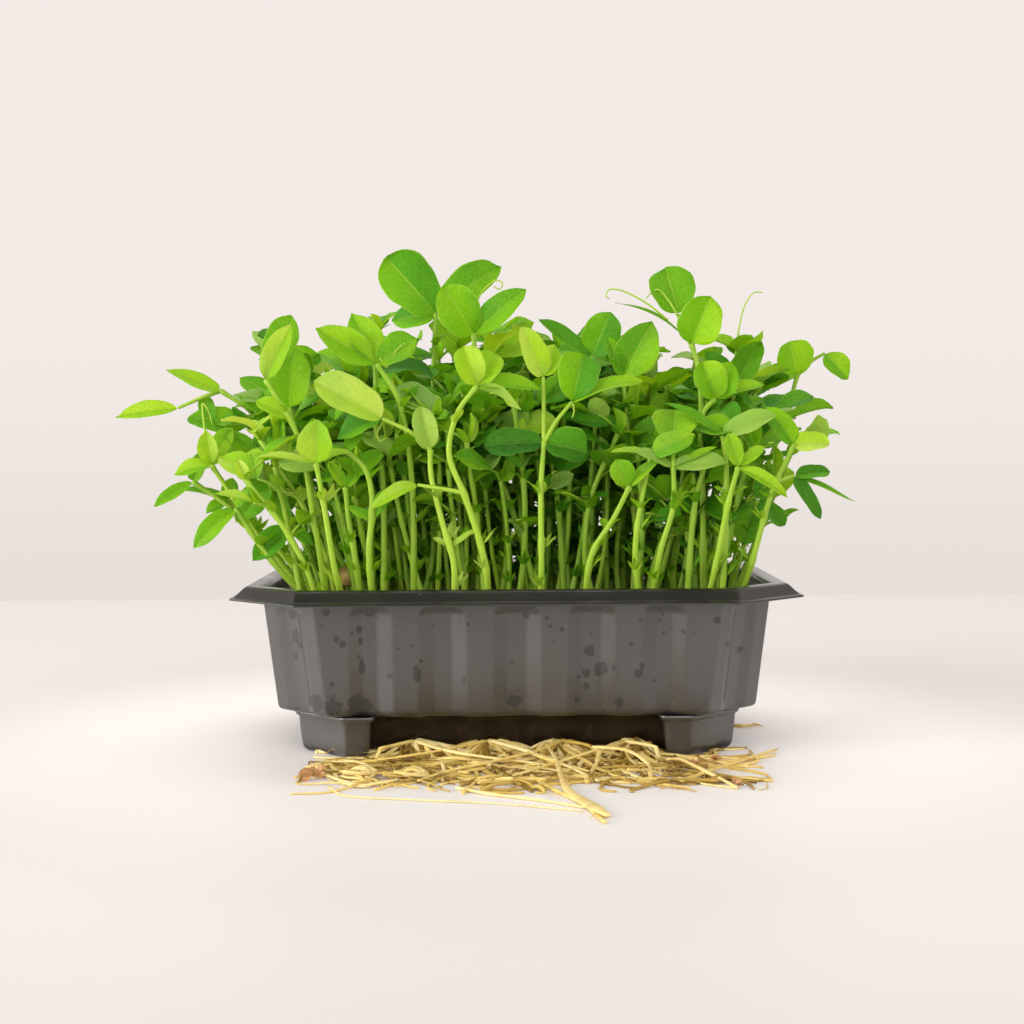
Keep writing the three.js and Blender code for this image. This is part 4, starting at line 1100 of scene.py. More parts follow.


# ---- shoots --------------------------------------------------------------------------

# The shoots of the part.
#   stem: its foot (x, y) on the mat and its points up to the crown.
#   tone: 0 dark, 1 pale. The shoots at the back are given darker tones, partly as painted shade.
#   branches: each has the points of its petiole beyond the crown, and its leaflets.
#   low: the same for branches that leave the stem lower down, at their first point's height.
#   tendrils: the points of each.
# A leaflet is (reach x, y, z, width, face), where face is how far its upper side is tipped from
# straight up towards the front, in degrees. It may go on with the share along at which it is
# broadest and how blunt its tip is. It may end with a tone of its own, with 2 added where the
# greyer underside shows.
SHOOTS = [
    dict(
        stem=[(-28, 10), (-29, 10, 88.5), (-29, 10, 124.5), (-28, 10, 147.5)], tone=0.45,
        branches=[([], [(-16.5, -3, 18.5, 18.5, 78, 0.57, 0.40), (22, 4, 16, 12, 75), (-15, 5, -2, 12, 60)])],
    ),
    dict(
        stem=[(-3, -16), (-5, -18, 88.5), (-12, -18, 116.5), (-14, -18, 138.5)], tone=0.5,
        branches=[([], [(-9.5, -4, 15, 14.5, 80, 0.50, 0.46), (17, -2, 14, 10, 72)])],
        tendrils=[[(-14, -18, 141.5), (-13, -18, 148.5), (-11, -18, 152.5), (-8, -18, 155.5),
                   (-6, -18, 156.5), (-4, -18, 155.5), (-5, -18, 153.5), (-7, -18, 154.5)]],
    ),
    dict(
        stem=[(-34, -38), (-34, -40, 89.5), (-38, -40, 115.5), (-45, -40, 127.5)], tone=0.6,
        branches=[([], [(-18.5, -3, 11, 11.5, 68), (-8, 4, 16, 11, 62), (12, 2, 8, 10, 70)])],
        tendrils=[[(-44, -40, 129.5), (-42, -40, 126.5), (-39, -40, 131.5), (-36, -40, 134.5)]],
    ),
    dict(
        stem=[(-20, -51), (-20, -55, 63.5), (-24, -56, 78.5), (-27, -57, 92.5), (-27, -57, 99.5)], tone=0.95,
        branches=[
            ([(-32, -58, 104.5), (-42, -59, 109.5)],
             [(-20, -3, 11, 12.5, 62, 0.52, 0.48), (-14, 4, -6, 10, 50, 0.3)]),
            ([], [(-3, 0, 13, 8, 80, 2.75)]),
        ],
        low=[([(-20, -56, 68.5)], [(9, -1, 5, 4, 30), (-5, 1, 3, 3, 30)])],
        tendrils=[[(-42, -57, 108.5), (-44, -56, 104.5), (-43, -56, 102.5), (-41, -56, 103.5)]],
    ),
    dict(
        stem=[(-9, -50), (-10, -56, 63.5), (-16, -59, 84.5), (-21, -60, 98.5), (-18, -61, 111.5),
              (-12, -61, 119.5)], tone=0.85,
        branches=[([], [(-4, -2, 11.5, 9.5, 78, 0.60, 0.40, 0.86), (5.5, 2, 9.5, 9.5, 76, 0.60, 0.40, 0.74),
                        (19, 3, -1, 7, 45, 0.5), (13, -4, -7, 6, -30, 2.85)])],
        low=[([(-17, -59, 85.5), (-25, -58, 87.5), (-31, -57, 88.5)], [(-14, -1, -7, 6, 40)])],
        tendrils=[[(-8, -61, 117.5), (-4, -61, 116.5), (-2, -61, 113.5), (0, -61, 113.5), (1, -61, 115.5)]],
    ),
    dict(
        stem=[(8, -50), (8, -54, 63.5), (8, -54, 87.5), (9, -54, 101.5)], tone=0.75,
        branches=[
            ([(9, -54, 111.5), (9, -54, 122.5)],
             [(-6.5, -2, 15, 8.5, 70, 0.88), (3.5, 3, 9.5, 8, 66, 0.45, 0.62, 0.80)]),
            ([(13, -55, 108.5), (18, -55, 114.5)],
             [(3.5, 2, 14, 13.5, 78, 0.62, 0.42, 0.36), (21, -1, 6, 6, 40, 0.62)]),
            ([], [(-18, 2, -1, 9.5, 68, 0.52, 0.50, 0.14), (13, 3, -3, 11, 72, 0.50, 0.50, 0.14)]),
        ],
        tendrils=[[(18, -55, 114.5), (18.6, -55, 111.5), (18, -55, 109.5)]],
    ),
    dict(
        stem=[(57, -34), (57, -36, 75.5), (61, -37, 109.5), (60, -36, 126.5), (58, -36, 133.5)], tone=0.55,
        branches=[
            ([], [(5.5, -3, 14.5, 14.5, 78, 0.48, 0.48, 0.66), (-24, -3, 13, 4, 20, 0.35)]),
            ([(55, -34, 138.5), (54, -33, 143.5)], [(-4, 3, 14.5, 15.5, 80, 0.56, 0.42, 0.36)]),
        ],
        tendrils=[
            [(50, -37, 141.5), (44, -36, 146.5), (39, -36, 149.5), (34, -36, 151.5), (31, -36, 151.5),
             (30, -36, 149.5), (31, -36, 148.5)],
            [(55, -36, 139.5), (52, -36, 145.5), (50, -36, 148.5), (47, -36, 151.5), (45, -36, 150.5),
             (43, -36, 148.5)],
        ],
    ),
    dict(
        stem=[(61, -48), (64, -54, 63.5), (67, -58, 81.5), (70, -60, 93.5)], tone=0.7,
        branches=[([], [(-3, -1, 10, 6, 70), (8, 0, 6, 5, 40), (14, -4, -9, 5, 55)])],
    ),
    dict(
        stem=[(72, -42), (76, -50, 63.5), (82, -52, 85.5), (89, -52, 100.5)], tone=0.65,
        branches=[([], [(10, -2, 0, 8, 58, 0.78), (-8, 3, 11, 8, 60, 0.55)])],
        low=[([(84, -52, 88.5), (89, -52, 90.5)],
              [(11, 2, 1, 6, 50, 0.30), (8, 0, -13, 5, 60, 0.22), (19, 3, -8, 3, 40, 0.48)])],
    ),
    dict(
        stem=[(43, -48), (46, -54, 66.5), (50, -56, 81.5), (50, -56, 93.5)], tone=0.6,
        branches=[
            ([], [(16, -2, 1, 8, 50, 2.62), (-11, -1, 5, 6, 30, 2.7), (13, -1, 6, 3, 30, 0.6)]),
            ([(50, -55, 98), (50, -54, 101)], [(1, 4, 10, 14, 76, 0.60, 0.36, 0.58)]),
        ],
    ),
    dict(
        stem=[(31, -14), (30, -18, 88.5), (29, -18, 115.5), (26, -18, 130.5)], tone=0.4,
        branches=[([], [(-17, 0, 12, 6, 60), (6, -2, 14, 13, 78), (-11, 5, 2, 8, 50)])],
        tendrils=[[(27, -26, 108.5), (25, -26, 115.5), (24, -26, 122.5)]],
    ),
    dict(
        stem=[(42, -24), (39, -26, 88.5), (36, -27, 123.5)], tone=0.47,
        branches=[([], [(9, -3, 17, 14, 80), (-5, -3, 12, 6, 60)])],
    ),
    dict(
        stem=[(-62, -38), (-66, -42, 77.5), (-71, -42, 104.5), (-81, -42, 122.5)], tone=0.72,
        branches=[([], [(8.8, -4, 17, 8, 76, 0.46, 0.70, 0.78), (7.5, 5, 20, 11, 74, 0.52)])],
        low=[([(-75, -42, 109.5)], [(-10, 0, 5, 6, 60)])],
    ),
    dict(
        stem=[(-70, 2), (-76, 5, 75.5), (-84, 6, 97.5), (-93, 6, 112.5), (-104, 6, 120.5)], tone=0.64,
        branches=[
            ([], [(-18, -2, 7, 7, 52)]),
            ([(-112, 5, 117.5), (-119, 5, 114.5)], [(-21, 0, -3, 7, 62, 0.45, 0.85)]),
        ],
    ),
    dict(
        stem=[(-70, -17), (-77, -19, 57.5), (-88, -20, 71.5), (-97, -20, 85.5), (-103, -20, 94.5)], tone=0.75,
        branches=[([], [(-1, -3, 11, 7, 72), (-12, 0, -3, 7, 45), (6, 5, 12, 7, 78)])],
        tendrils=[[(-105, -18, 101.5), (-106, -18, 115.5), (-104, -18, 112.5), (-103, -18, 108.5)]],
    ),
    dict(
        stem=[(-66, -33), (-76, -36, 57.5), (-85, -38, 69.5), (-92, -38, 80.5)], tone=0.6,
        branches=[([], [(-13, -2, -12, 7, 58), (6, -2, 6, 5, 50)])],
    ),
    dict(
        stem=[(-71, -8), (-78, -7, 59.5), (-90, -6, 71.5), (-103, -6, 82.5), (-112, -6, 88.5)], tone=0.5,
        branches=[([], [(-13, 0, -8, 5, 58), (4, 2, 10, 6, 72)])],
    ),
    dict(
        stem=[(70, 22), (77, 26, 61.5), (92, 30, 89.5), (101, 30, 114.5), (104, 30, 125.5)], tone=0.55,
        branches=[
            ([], [(-3, -2, 11.5, 14.5, 78, 0.60, 0.36)]),
            ([(109, 30, 130.5), (114, 30, 133.5)], [(8, -1, -9, 9, 70)]),
        ],
    ),
    dict(
        stem=[(68, 2), (75, 4, 87.5), (77, 4, 120.5)], tone=0.3,
        branches=[([], [(9, -2, 15, 10, 75), (-9, 2, 12, 8, 70)])],
        tendrils=[[(77, 3, 123.5), (78, 2, 135.5), (79, 2, 142.5), (81, 2, 149.5), (84, 2, 153.5),
                   (87, 2, 153.5)]],
    ),
    dict(
        stem=[(-55, -47), (-58, -54, 61.5), (-61, -58, 83.5), (-63, -59, 95.5)], tone=0.8,
        branches=[([], [(1, -3, 13, 11, 80), (-18, 0, 2, 5, 25), (10, 1, 3, 5, 30)])],
    ),
    dict(
        stem=[(-52, 38), (-54, 42, 89.5), (-60, 46, 125.5)], tone=0.4,
        branches=[([], [(-14, 6, 10, 12, 20), (9, 8, 12, 11, -40), (1, -10, 12, 10, 45)])],
    ),
    dict(
        stem=[(-14, 42), (-12, 45, 93.5), (-6, 47, 135.5)], tone=0.5,
        branches=[([], [(-15, 4, 8, 12, -20), (13, 7, 11, 12, -50), (2, 14, 4, 9, -35)])],
    ),
    dict(
        stem=[(24, 40), (26, 44, 91.5), (30, 48, 127.5)], tone=0.45,
        branches=[([], [(-12, 7, 10, 12, -45), (15, 5, 9, 12, -20), (2, 13, -3, 9, -25)])],
    ),
    dict(
        stem=[(56, 34), (60, 40, 85.5), (68, 46, 113.5)], tone=0.5,
        branches=[([], [(14, 6, 6, 11, 15), (-7, 9, 13, 12, -45)])],
    ),
]

# Shoots that only the looks have: they stand among the part's own and cross them.
MORE_SHOOTS = [
    dict(
        stem=[(-44, -34), (-44, -34, 89.5), (-46, -34, 106.5), (-46, -34, 127.5)], tone=0.5,
        branches=[([], [(-5, 6, 14, 10, 75), (8, 6, 7, 9, 70)])],
    ),
    dict(
        stem=[(61, -42), (61, -42, 82.5), (61, -42, 110.5), (65, -42, 115.5)], tone=0.55,
        branches=[([], [(-4, 0, 11, 11, 80), (5, 0, 11, 10, 76), (15, 0, 4, 7, 40)])],
    ),
    dict(
        stem=[(66, -50), (67, -54, 82.5), (67, -54, 93.5), (66, -54, 103.5)], tone=0.6,
        branches=[([], [(16, -1, 6, 8, 55, 2.62), (-18, -2, 10, 5, 30, 0.35)])],
    ),
    dict(
        stem=[(55, -48), (57, -50, 78.5), (59, -50, 88.5), (61, -50, 94.5)], tone=0.45,
        branches=[([], [(-11, 0, 4, 6, 40), (7, 0, 3, 5, 40)])],
    ),
    dict(
        stem=[(-58, -30), (-68, -32, 89.5), (-75, -32, 113.5)], tone=0.45,
        branches=[([], [(2, -2, 19, 14, 80)])],
    ),
    dict(
        stem=[(-50, -46), (-52, -48, 64.5), (-54, -48, 77.5), (-55, -48, 87.5)], tone=0.6,
        branches=[([], [(-5, 0, 8, 4, 60), (5, 0, 5, 4, 60)])],
    ),
    dict(
        stem=[(-46, -50), (-47, -54, 67.5), (-46, -54, 78.5), (-46, -54, 85.5), (-48, -54, 93.5),
              (-54, -54, 99.5)], tone=0.55,
        branches=[([], [(-10, 0, -2, 5, 45), (5, 0, 6, 5, 60)])],
        low=[([(-46, -54, 77.5)], [(-7, 0, 4, 4, 50), (6, 1, 9, 5, 60)])],
    ),
    dict(
        stem=[(8, -30), (-2, -30, 81.5), (-8, -30, 97.5)], tone=0.2,
        branches=[([], [(18, -2, 2, 11, 75), (-9, 2, 7, 9, 70)])],
    ),
    dict(
        stem=[(16, -28), (14, -30, 81.5), (12, -30, 94.5)], tone=0.2,
        branches=[([], [(12, -2, 6, 11, 78), (-7, 2, 9, 9, 70)])],
    ),
    dict(
        stem=[(40, -50), (38, -54, 67.5), (40, -55, 83.5), (43, -55, 97.5)], tone=0.7,
        branches=[([], [(13, -1, 6, 8, 60), (-12, 0, 1, 5, 30)])],
    ),
    dict(
        stem=[(22, -50), (24, -54, 65.5), (31, -56, 77.5), (36, -57, 87.5)], tone=0.65,
        branches=[([], [(-4, -1, 8, 8, 76), (9, 1, 8, 5, 30)])],
    ),
    dict(
        stem=[(-66, -12), (-72, -12, 66), (-82, -13, 84), (-87, -14, 95.5)], tone=0.45,
        branches=[([], [(-12.3, -2, 9.6, 8, 50), (-15, 2, 3.4, 10, 72), (3.4, 3, 13, 9.5, 80),
                        (-4.8, -4, -5.5, 7, 50)])],
    ),
    dict(
        stem=[(-64, -4), (-69, -5, 72), (-76, -7, 92), (-80, -8, 106.4)], tone=0.4,
        branches=[([], [(-14.2, -2, 11, 7.5, 40), (-9.7, -3, 3.5, 9, 65), (-7.6, 4, 13, 8.5, 62)])],
    ),
    dict(
        stem=[(-68, -20), (-73, -21, 60), (-79, -23, 76), (-82.5, -24, 88.2)], tone=0.4,
        branches=[([], [(-10.4, -3, -12, 9.5, 66), (5.7, -2, -13.5, 7, 75), (13, -2, 6, 7, 62)])],
    ),
    dict(
        stem=[(-70, -26), (-72, -29, 56), (-74, -33, 66), (-74.7, -34, 73.9)], tone=0.4,
        branches=[([], [(-11.2, -3, -10, 8.5, 66), (7.3, -2, -5.6, 4.5, 40)])],
    ),
    dict(
        stem=[(-71, 5), (-78, 3, 60), (-92, 1, 73), (-101, 0, 82)], tone=0.5,
        branches=[([], [(-7, -1, -4.2, 5, 55), (-15.4, 0, 3.5, 5, 35), (1.4, 1, 7, 6, 70)])],
    ),
    dict(
        stem=[(-70, 14), (-78, 12, 70), (-94, 8, 92), (-107, 6, 108.8)], tone=0.45,
        branches=[([], [(10.3, -2, 0, 6.5, 35), (-3.2, 2, 9.6, 6, 76), (-8.5, 1, 1.4, 5, 60)])],
    ),
    dict(
        stem=[(71, -30), (73, -34, 60), (77, -38, 73), (78.8, -40, 82.4)], tone=0.3,
        branches=[([], [(8.2, 3, 10.5, 8, 70), (-4, 3, -14, 9, 70), (8.8, 2, -8, 6, 65)])],
    ),
]


def face_normal(face):
    tilt = math.radians(face)
    return (0, -math.sin(tilt), math.cos(tilt))


def at_height(path, height):
    """The place on a path that is nearest to a height."""
    return path[int(np.argmin(np.abs(path[:, 2] - height)))]


def stem_radii(path, radius, joints):
    """Tapers a stem and thickens it a little at its joints."""
    share = np.linspace(0, 1, len(path))
    sizes = radius * (1.15 - 0.42 * share)
    for height in joints:
        sizes = sizes + 0.26 * radius * np.exp(-((path[:, 2] - height) / 1.6) ** 2)
    return sizes


def level_direction(turn):
    return np.array([math.cos(turn), math.sin(turn), 0])


def add_bract(shape, place, size, turn, tone, rng):
    """A small scale leaf with three narrow points, hugging the stem."""
    out = level_direction(turn)
    side = np.array([-out[1], out[0], 0])
    base = np.asarray(place, float) + out * 1.1
    for share, length in ((-0.55, 0.75), (0, 1), (0.55, 0.75)):
        reach = size * length * (0.62 * out + [0, 0, 0.75] + share * side)
        add_blade(shape, base, reach, size * 0.26, out * 0.6 + [0, 0, -0.5], tone, rng,
                  6, 2, 0.5, -0.7, 0.42, 0.9)


def add_stipules(shape, place, size, turn, tone, rng):
    """A pair of rounded leaves that clasp the stem at a joint."""
    for sign in (-1, 1):
        out = level_direction(turn + sign * rng.uniform(0.7, 1.2))
        reach = size * unit(out + [0, 0, rng.uniform(0.5, 1.1)])
        normal = unit(-0.7 * out + [0, 0, 0.8])
        add_blade(shape, np.asarray(place, float) + out * 0.8, reach, size * rng.uniform(0.5, 0.66), normal,
                  tone, rng, 7, 4, 0.35, 0.5, 0.42, 0.6)


def add_leaflet(leaves, base, leaflet, tone, rng, detail):
    """One leaflet as the lists of shoots give it."""
    *reach, width, face = leaflet[:5]
    form = leaflet[5:]
    reach = np.array(reach, float)
    own = form[-1] if len(form) % 2 else tone
    widest, blunt = form[:2] if len(form) > 1 else (rng.uniform(0.40, 0.54), rng.uniform(0.50, 0.66))
    pale = own > 1.5
    own = np.clip(own - 2 * pale + rng.uniform(-0.1, 0.1), 0, 1)
    fold, curl = rng.uniform(0.22, 0.60), rng.uniform(0.1, 0.8)
    add_blade(leaves, base + unit(reach) * 0.5, reach, width, face_normal(face), own, rng,
              detail["rows"], detail["columns"], fold, curl, widest, blunt, pale)


def add_branch(stems, leaves, line, leaflets, tone, rng, detail):
    """A petiole along the line, if it has more than one point, and leaflets at its end."""
    if len(line) > 1:
        petiole = smooth_path(line, 5)
        sizes = PETIOLE_RADIUS * np.linspace(1.25, 0.85, len(petiole))
        add_tube(stems, petiole, sizes, detail["petiole_sides"], hero_stem_tone(tone))
    for leaflet in leaflets:
        add_leaflet(leaves, np.asarray(line[-1], float), leaflet, tone, rng, detail)


def hero_stem_tone(tone):
    return 0.32 + 0.5 * tone


def stem_start(foot_x, foot_y):
    """The first two points of a stem: in the mat, and just over it."""
    return [(foot_x, foot_y, MAT_TOP - 2), (foot_x, foot_y, MAT_TOP + 1.8)]


def add_shoot(stems, leaves, shoot, bracts, stipules, rng, detail):
    """A shoot of the lists, with scale leaves at the bracts' heights and a pair of stipules."""
    foot, *rest = shoot["stem"]
    tone = shoot["tone"]
    path = smooth_path([*stem_start(*foot), *rest], detail["stem_steps"])
    crown = path[-1]
    low = shoot.get("low", [])
    joints = [crown[2], *bracts, *(points[0][2] for points, _ in low)]
    add_tube(stems, path, stem_radii(path, STEM_RADIUS, joints), detail["stem_sides"], hero_stem_tone(tone))
    for height in bracts:
        add_bract(leaves, at_height(path, height), rng.uniform(5, 8), rng.uniform(0, 6.3), tone + 0.1, rng)
    joint = at_height(path, crown[2] - rng.uniform(9, 18))
    add_stipules(leaves, joint, stipules, rng.uniform(0, 6.3), tone, rng)
    for points, leaflets in shoot["branches"]:
        add_branch(stems, leaves, [crown, *points], leaflets, tone, rng, detail)
    for points, leaflets in low:
        line = [at_height(path, points[0][2]), *points[1:]]
        add_branch(stems, leaves, line, leaflets, tone, rng, detail)
    for line in shoot.get("tendrils", []):
        curve = smooth_path(line, 12)
        add_tube(stems, curve, np.linspace(0.40, 0.20, len(curve)), 6, 0.8)


HERO_DETAIL = dict(stem_steps=10, stem_sides=12, petiole_sides=8, rows=16, columns=12)
FILL_DETAIL = dict(stem_steps=6, stem_sides=7, petiole_sides=5, rows=9, columns=6)


def make_named_shoots(rng):
    for index, shoot in enumerate(SHOOTS, 1):
        stems, leaves = Shape(), Shape()
        top = shoot["stem"][-1][2]
        bracts = [rng.uniform(56, 64), rng.uniform(68, min(84, top - 6))]
        add_shoot(stems, leaves, shoot, bracts, rng.uniform(4, 6.5), rng, HERO_DETAIL)
        stems.piece(f"shoot_stem_{index:02d}", STEM, "stem", replaces=[f"stem_{index:02d}"])
        leaves.piece(f"shoot_leaves_{index:02d}", LEAF, "leaf", replaces=[f"leaves_{index:02d}"])
    stems, leaves = Shape(), Shape()
    for shoot in MORE_SHOOTS:
        bracts = [rng.uniform(56, 64), rng.uniform(66, 80)]
        add_shoot(stems, leaves, shoot, bracts, rng.uniform(3.5, 6), rng, HERO_DETAIL)
    stems.piece("more_stems", STEM, "stem")
    leaves.piece("more_leaves", LEAF, "leaf")


# The thicket's joints from the lowest to the crown: lengths of leaflets, stipules and petioles.
# The two lowest are only on the shoots behind the front rows.
LEAFLET_LENGTHS = (9, 9, 10, 15, 16)
STIPULE_LENGTHS = (6, 6, 6, 8, 7)
PETIOLE_LENGTHS = (4, 4, 5, 10, 6)
PALE_SHARE = 0.14
TENDRIL_SHARE = 0.35
# A tendril's turn and share of its length at each step, from straight to tightly curled.
CURL = [(0.06, 0.2), (0.1, 0.2), (0.15, 0.16), (0.3, 0.12), (0.6, 0.09), (0.9, 0.07), (1.1, 0.06),
        (1.2, 0.05), (1.2, 0.05)]


def leafy_branch(out, length, size, rng):
    """The middle and end of a petiole that rises outwards, and the pair of leaflets on it."""
    side = np.array([-out[1], out[0], 0])
    rise = rng.uniform(0.45, 1.1)
    middle = length * 0.5 * unit(out + [0, 0, rise + 0.3])
    end = length * unit(out + [0, 0, rise])
    leaflets = []
    for sign in (-1, 1):
        spread = sign * rng.uniform(0.75, 1.25)
        long = size * rng.uniform(0.85, 1.1)
        reach = long * unit(out + spread * side + [0, 0, rng.uniform(0.1, 0.9)])
        leaflets.append((reach, size * rng.uniform(0.52, 0.74)))
    return middle, end, leaflets


def random_normal(rng):
    """Blades face up and a little at random, so that flat and edge-on ones mix."""
    tilt = rng.normal(0, 0.75, 3)
    tilt[2] = abs(tilt[2])
    return unit(tilt + [0, -0.35, 0.7])


def add_curl(stems, start, out, rng):
    """A fine tendril that ends in a small hook."""
    length = rng.uniform(7, 16)
    ahead = unit(out + [0, 0, rng.uniform(0.2, 1.2)])
    side = unit(np.cross(ahead, [0, 0, 1]))
    points = [start]
    angle = 0.0
    for turn, share in CURL:
        angle += turn
        points.append(points[-1] + length * share * (ahead * math.cos(angle) + side * math.sin(angle)))
    curve = smooth_path(points, 4)
    add_tube(stems, curve, np.linspace(0.3, 0.15, len(curve)), 4, 0.75)


def filler_path(foot_x, foot_y, top, rng):
    """A stem that leans away from the middle of the tray, more towards its top."""
    lean_x = foot_x * rng.uniform(0.08, 0.34) + rng.normal(0, 4)
    lean_y = foot_y * rng.uniform(0.02, 0.22) + rng.normal(0, 3)
    bow = rng.normal(0, 2.5, 2)
    points = stem_start(foot_x, foot_y)
    for share in (0.3, 0.65, 1.0):
        shift = share ** 1.6
        sway = math.sin(math.pi * share)
        points.append((foot_x + lean_x * shift + bow[0] * sway, foot_y + lean_y * shift + bow[1] * sway,
                       MAT_TOP + (top - MAT_TOP) * share))
    return smooth_path(points, FILL_DETAIL["stem_steps"])


def add_filler(stems, leaves, foot, top, tone, rng):
    """One shoot of the thicket: a leaning stem with leafy joints and a folded tip."""
    path = filler_path(*foot, top, rng)
    sides, grid = FILL_DETAIL["petiole_sides"], (FILL_DETAIL["rows"], FILL_DETAIL["columns"])
    height = top - MAT_TOP
    shares = [rng.uniform(0.50, 0.64), rng.uniform(0.74, 0.84), 1.0]
    if foot[1] > -14:
        shares = [rng.uniform(0.14, 0.24), rng.uniform(0.30, 0.42), *shares]
    joints = [MAT_TOP + height * share for share in shares]
    radius = rng.uniform(0.8, 1.2)
    stem_tone = 0.12 + 0.8 * tone
    add_tube(stems, path, stem_radii(path, radius, joints), FILL_DETAIL["stem_sides"], stem_tone)
    turn = rng.uniform(0, 2 * math.pi)
    for share in (rng.uniform(0.18, 0.28), rng.uniform(0.34, 0.46)):
        turn += math.pi + rng.uniform(-0.5, 0.5)
        place = at_height(path, MAT_TOP + height * share)
        add_bract(leaves, place, rng.uniform(4, 7), turn, tone + 0.05, rng)
    for level, joint in enumerate(joints, -len(joints)):
        turn += math.pi + rng.uniform(-0.7, 0.7)
        place = at_height(path, joint)
        out = level_direction(turn)
        size = LEAFLET_LENGTHS[level] * rng.uniform(0.75, 1.2)
        add_stipules(leaves, place, STIPULE_LENGTHS[level] * rng.uniform(0.7, 1.2), turn, tone, rng)
        middle, end, leaflets = leafy_branch(out, PETIOLE_LENGTHS[level] * rng.uniform(0.7, 1.4), size, rng)
        petiole = smooth_path([place, place + middle, place + end], 4)
        add_tube(stems, petiole, np.linspace(0.62, 0.42, len(petiole)), sides, stem_tone)
        for reach, width in leaflets:
            if (place + end + reach)[1] < -50:
                reach = reach * [1, -1, 1]
            add_blade(leaves, place + end, reach, width, random_normal(rng),
                      np.clip(tone + rng.normal(0, 0.1), 0, 1), rng, *grid, rng.uniform(0.15, 0.5),
                      rng.uniform(0, 0.9), rng.uniform(0.40, 0.56), rng.uniform(0.46, 0.68),
                      rng.random() < PALE_SHARE)
        if rng.random() < TENDRIL_SHARE:
            add_curl(stems, place + end, out, rng)
    bud_reach = np.array([rng.normal(0, 2), rng.normal(0, 2), rng.uniform(6, 10)])
    add_blade(leaves, path[-1], bud_reach, 4.5, (rng.normal(), -1, 0.2), min(tone + 0.25, 1), rng,
              *grid, 1.2, 0.3)


# The thicket's grid of shoots: how far it reaches to each side, and from front to back.
GRID_HALF_X = 70
GRID_FRONT = -43
GRID_DEPTH = 90
GRID_COLUMNS = 18
GRID_ROWS = 12
BANDS = 4
# The foot of a shoot keeps this distance from the foot of a named one.
FOOT_SPACING = 3.4
TOP_IN_FRONT = 99
TOP_RISE = 30
SIDE_DROP = 13


def thicket_feet(rng):
    """A jittered grid within the tray, clear of the named shoots, whose place is in front."""
    taken = [shoot["stem"][0] for shoot in SHOOTS + MORE_SHOOTS]
    feet = []
    for row in range(GRID_ROWS):
        for column in range(GRID_COLUMNS):
            x = -GRID_HALF_X + 2 * GRID_HALF_X * column / (GRID_COLUMNS - 1) + rng.normal(0, 2.2)
            y = GRID_FRONT + GRID_DEPTH * row / (GRID_ROWS - 1) + rng.normal(0, 2.2)
            inside = abs(x) < 73 and abs(y) < 48 and abs(x) / 76 + abs(y) / 50 < 1.75
            crowded = y < -37 and abs(x) < 58
            clear = all(math.hypot(x - a, y - b) > FOOT_SPACING for a, b in taken)
            if inside and not crowded and clear:
                feet.append((x, y))
    return feet


def make_thicket(rng):
    """Fills the mat with shoots that stand higher towards the back and lower at the sides."""
    feet = thicket_feet(rng)
    for band in range(BANDS):
        stems, leaves = Shape(), Shape()
        for x, y in feet[band::BANDS]:
            depth = (y + 48) / 96
            top = TOP_IN_FRONT + TOP_RISE * depth - SIDE_DROP * (abs(x) / 75) ** 2 + rng.normal(0, 7)
            # Painted shade: the tones run darker towards the back, where the shoots stand in shade.
            tone = np.clip(rng.normal(0.48 - 0.14 * depth, 0.15), 0.05, 0.88)
            add_filler(stems, leaves, (x, y), top, tone, rng)
        stems.piece(f"thicket_stems_{band + 1}", STEM, "stem")
        leaves.piece(f"thicket_leaves_{band + 1}", LEAF, "leaf")


make_named_shoots(np.random.default_rng(21))
make_thicket(np.random.default_rng(22))


# ---- table, light and camera ---------------------------------------------------------


LAMP_COLOR = (1.0, 0.97, 0.94)
EYE = (-1.3, -584.5, 103.5)
EYE_DOWN = math.radians(2.58)
EYE_ROLL = math.radians(0.37)
LENS_LENGTH = 58.54
LENS_SENSOR = 36


def make_table():
    """A pale tabletop; its far edge rolls off softly and is the scene's horizon."""
    width, near, far, roll = 1700, -1250, 484, 90
    ends = [(near, 0), (far, 0)]
    ends += [(far + roll * math.sin(turn), roll * (math.cos(turn) - 1)) for turn in np.linspace(0.1, 1.5, 15)]
    corners = [(x, y, z) for y, z in ends for x in (-width, width)]
    faces = [(2 * i, 2 * i + 1, 2 * i + 3, 2 * i + 2) for i in range(len(ends) - 1)]
    mesh = mesh_of("table", corners, faces)
    table = add_to_scene("table", mesh)
    paint = Paint("pale_table")
    place = paint.place()
    depth = paint.split(place)[1]
    # Painted light and shade: the tabletop is painted lighter around the tray, against its shadow, and darker
    # farther out, towards the front and at the rolled far edge.
    color = paint.tint((0.830, 0.803, 0.787), (0.600, 0.578, 0.562), paint.length(place), 90, 225)
    color = paint.tint(color, (0.478, 0.466, 0.455), depth, -180, -420)
    color = paint.tint(color, (0.60, 0.565, 0.54), depth, 425, 495)
    mesh.materials.append(paint.finish(color, 0.5, 0.25))


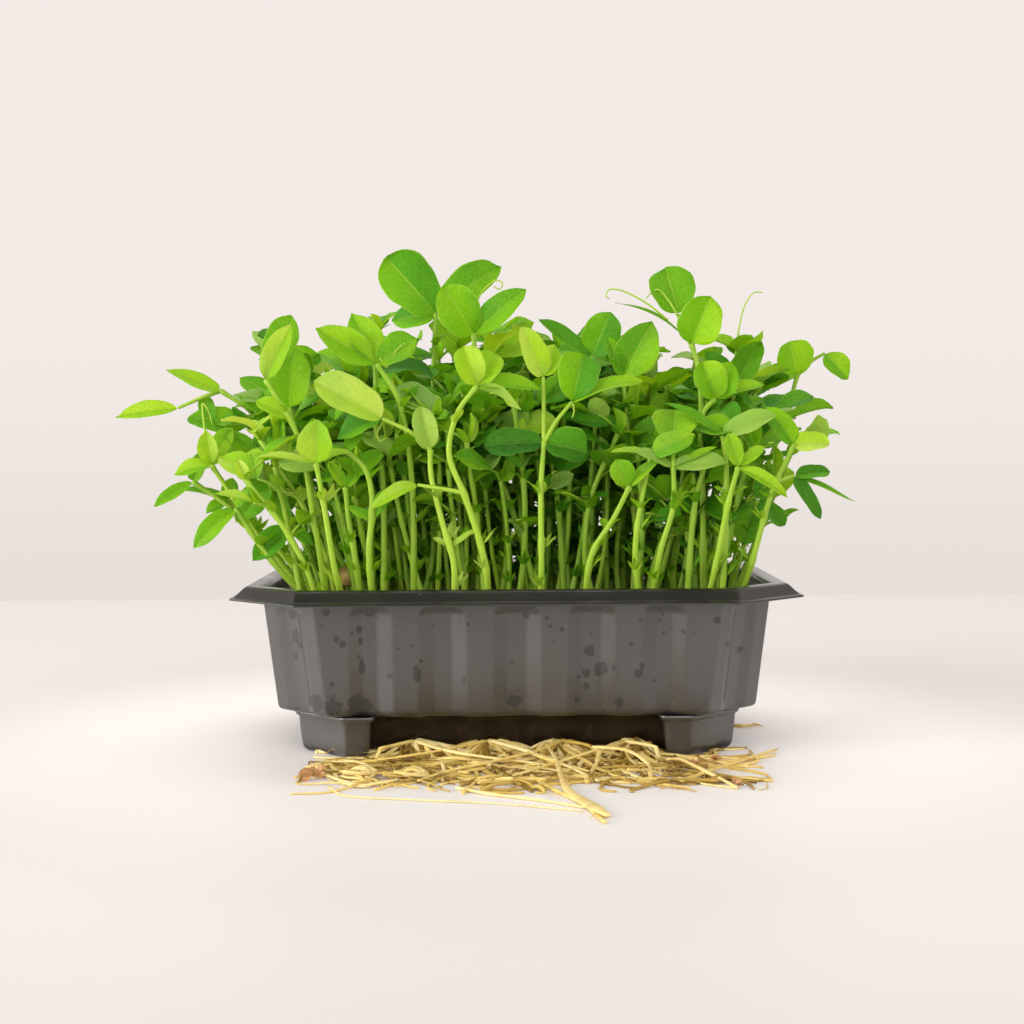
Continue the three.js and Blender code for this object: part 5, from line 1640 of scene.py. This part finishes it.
def make_light():
    """A bright even room, darker overhead in front, and large soft lamps."""
    world = bpy.data.worlds.new("studio")
    bpy.context.scene.world = world
    world.use_nodes = True
    room = Nodes(world.node_tree)
    heading = room.node("ShaderNodeTexCoord").outputs["Generated"]
    haze = room.tint((0.800, 0.740, 0.700), (0.896, 0.823, 0.791), room.split(heading)["Z"], -0.10, 0.06)
    overhead = room.dot(heading, unit((0, -0.42, 0.90)).tolist())
    color = room.tint(haze, (0.16, 0.15, 0.145), overhead, 0.15, 0.85)
    room.put(room.tree.nodes["Background"].inputs["Color"], color)

    for name, place, aim, wide, high, power in (
        ("left_front_softbox", (-1300, -1100, 900), (0, 0, 60), 1.3, 1.3, 24.0),
        ("left_low_softbox", (-1550, -850, 300), (0, 0, 40), 1.7, 0.6, 12.0),
        ("left_side_softbox", (-1500, -40, 260), (0, 0, 30), 1.3, 0.55, 9.0),
        ("front_fill", (500, -1500, 900), (0, 0, 60), 1.4, 1.4, 16.0),
        ("overhead_back", (150, 900, 1600), (0, 0, 90), 1.6, 1.6, 22.0),
        ("right_side", (1400, -200, 700), (0, 0, 80), 1.0, 1.0, 5.0),
    ):
        lamp = bpy.data.lights.new(name, "AREA")
        lamp.shape, lamp.size, lamp.size_y, lamp.energy = "RECTANGLE", wide, high, power
        lamp.color = LAMP_COLOR
        made = add_to_scene(name, lamp)
        made.location = Vector(to_row(place))
        made.rotation_euler = (Vector(to_row(aim)) - made.location).to_track_quat("-Z", "Y").to_euler()


def make_camera():
    """The photographer's place: level with the leaves, in front, turned down a little."""
    lens = bpy.data.cameras.new("camera")
    lens.lens, lens.sensor_width = LENS_LENGTH, LENS_SENSOR
    lens.clip_start, lens.clip_end = 0.05, 20
    camera = add_to_scene("camera", lens)
    turn = Matrix.Rotation(math.pi / 2 - EYE_DOWN, 4, "X") @ Matrix.Rotation(-EYE_ROLL, 4, "Z")
    camera.matrix_world = Matrix.Translation(Vector(to_row(EYE))) @ turn
    bpy.context.scene.camera = camera


make_table()
make_light()
make_camera()
bpy.context.scene.view_settings.view_transform = "Standard"
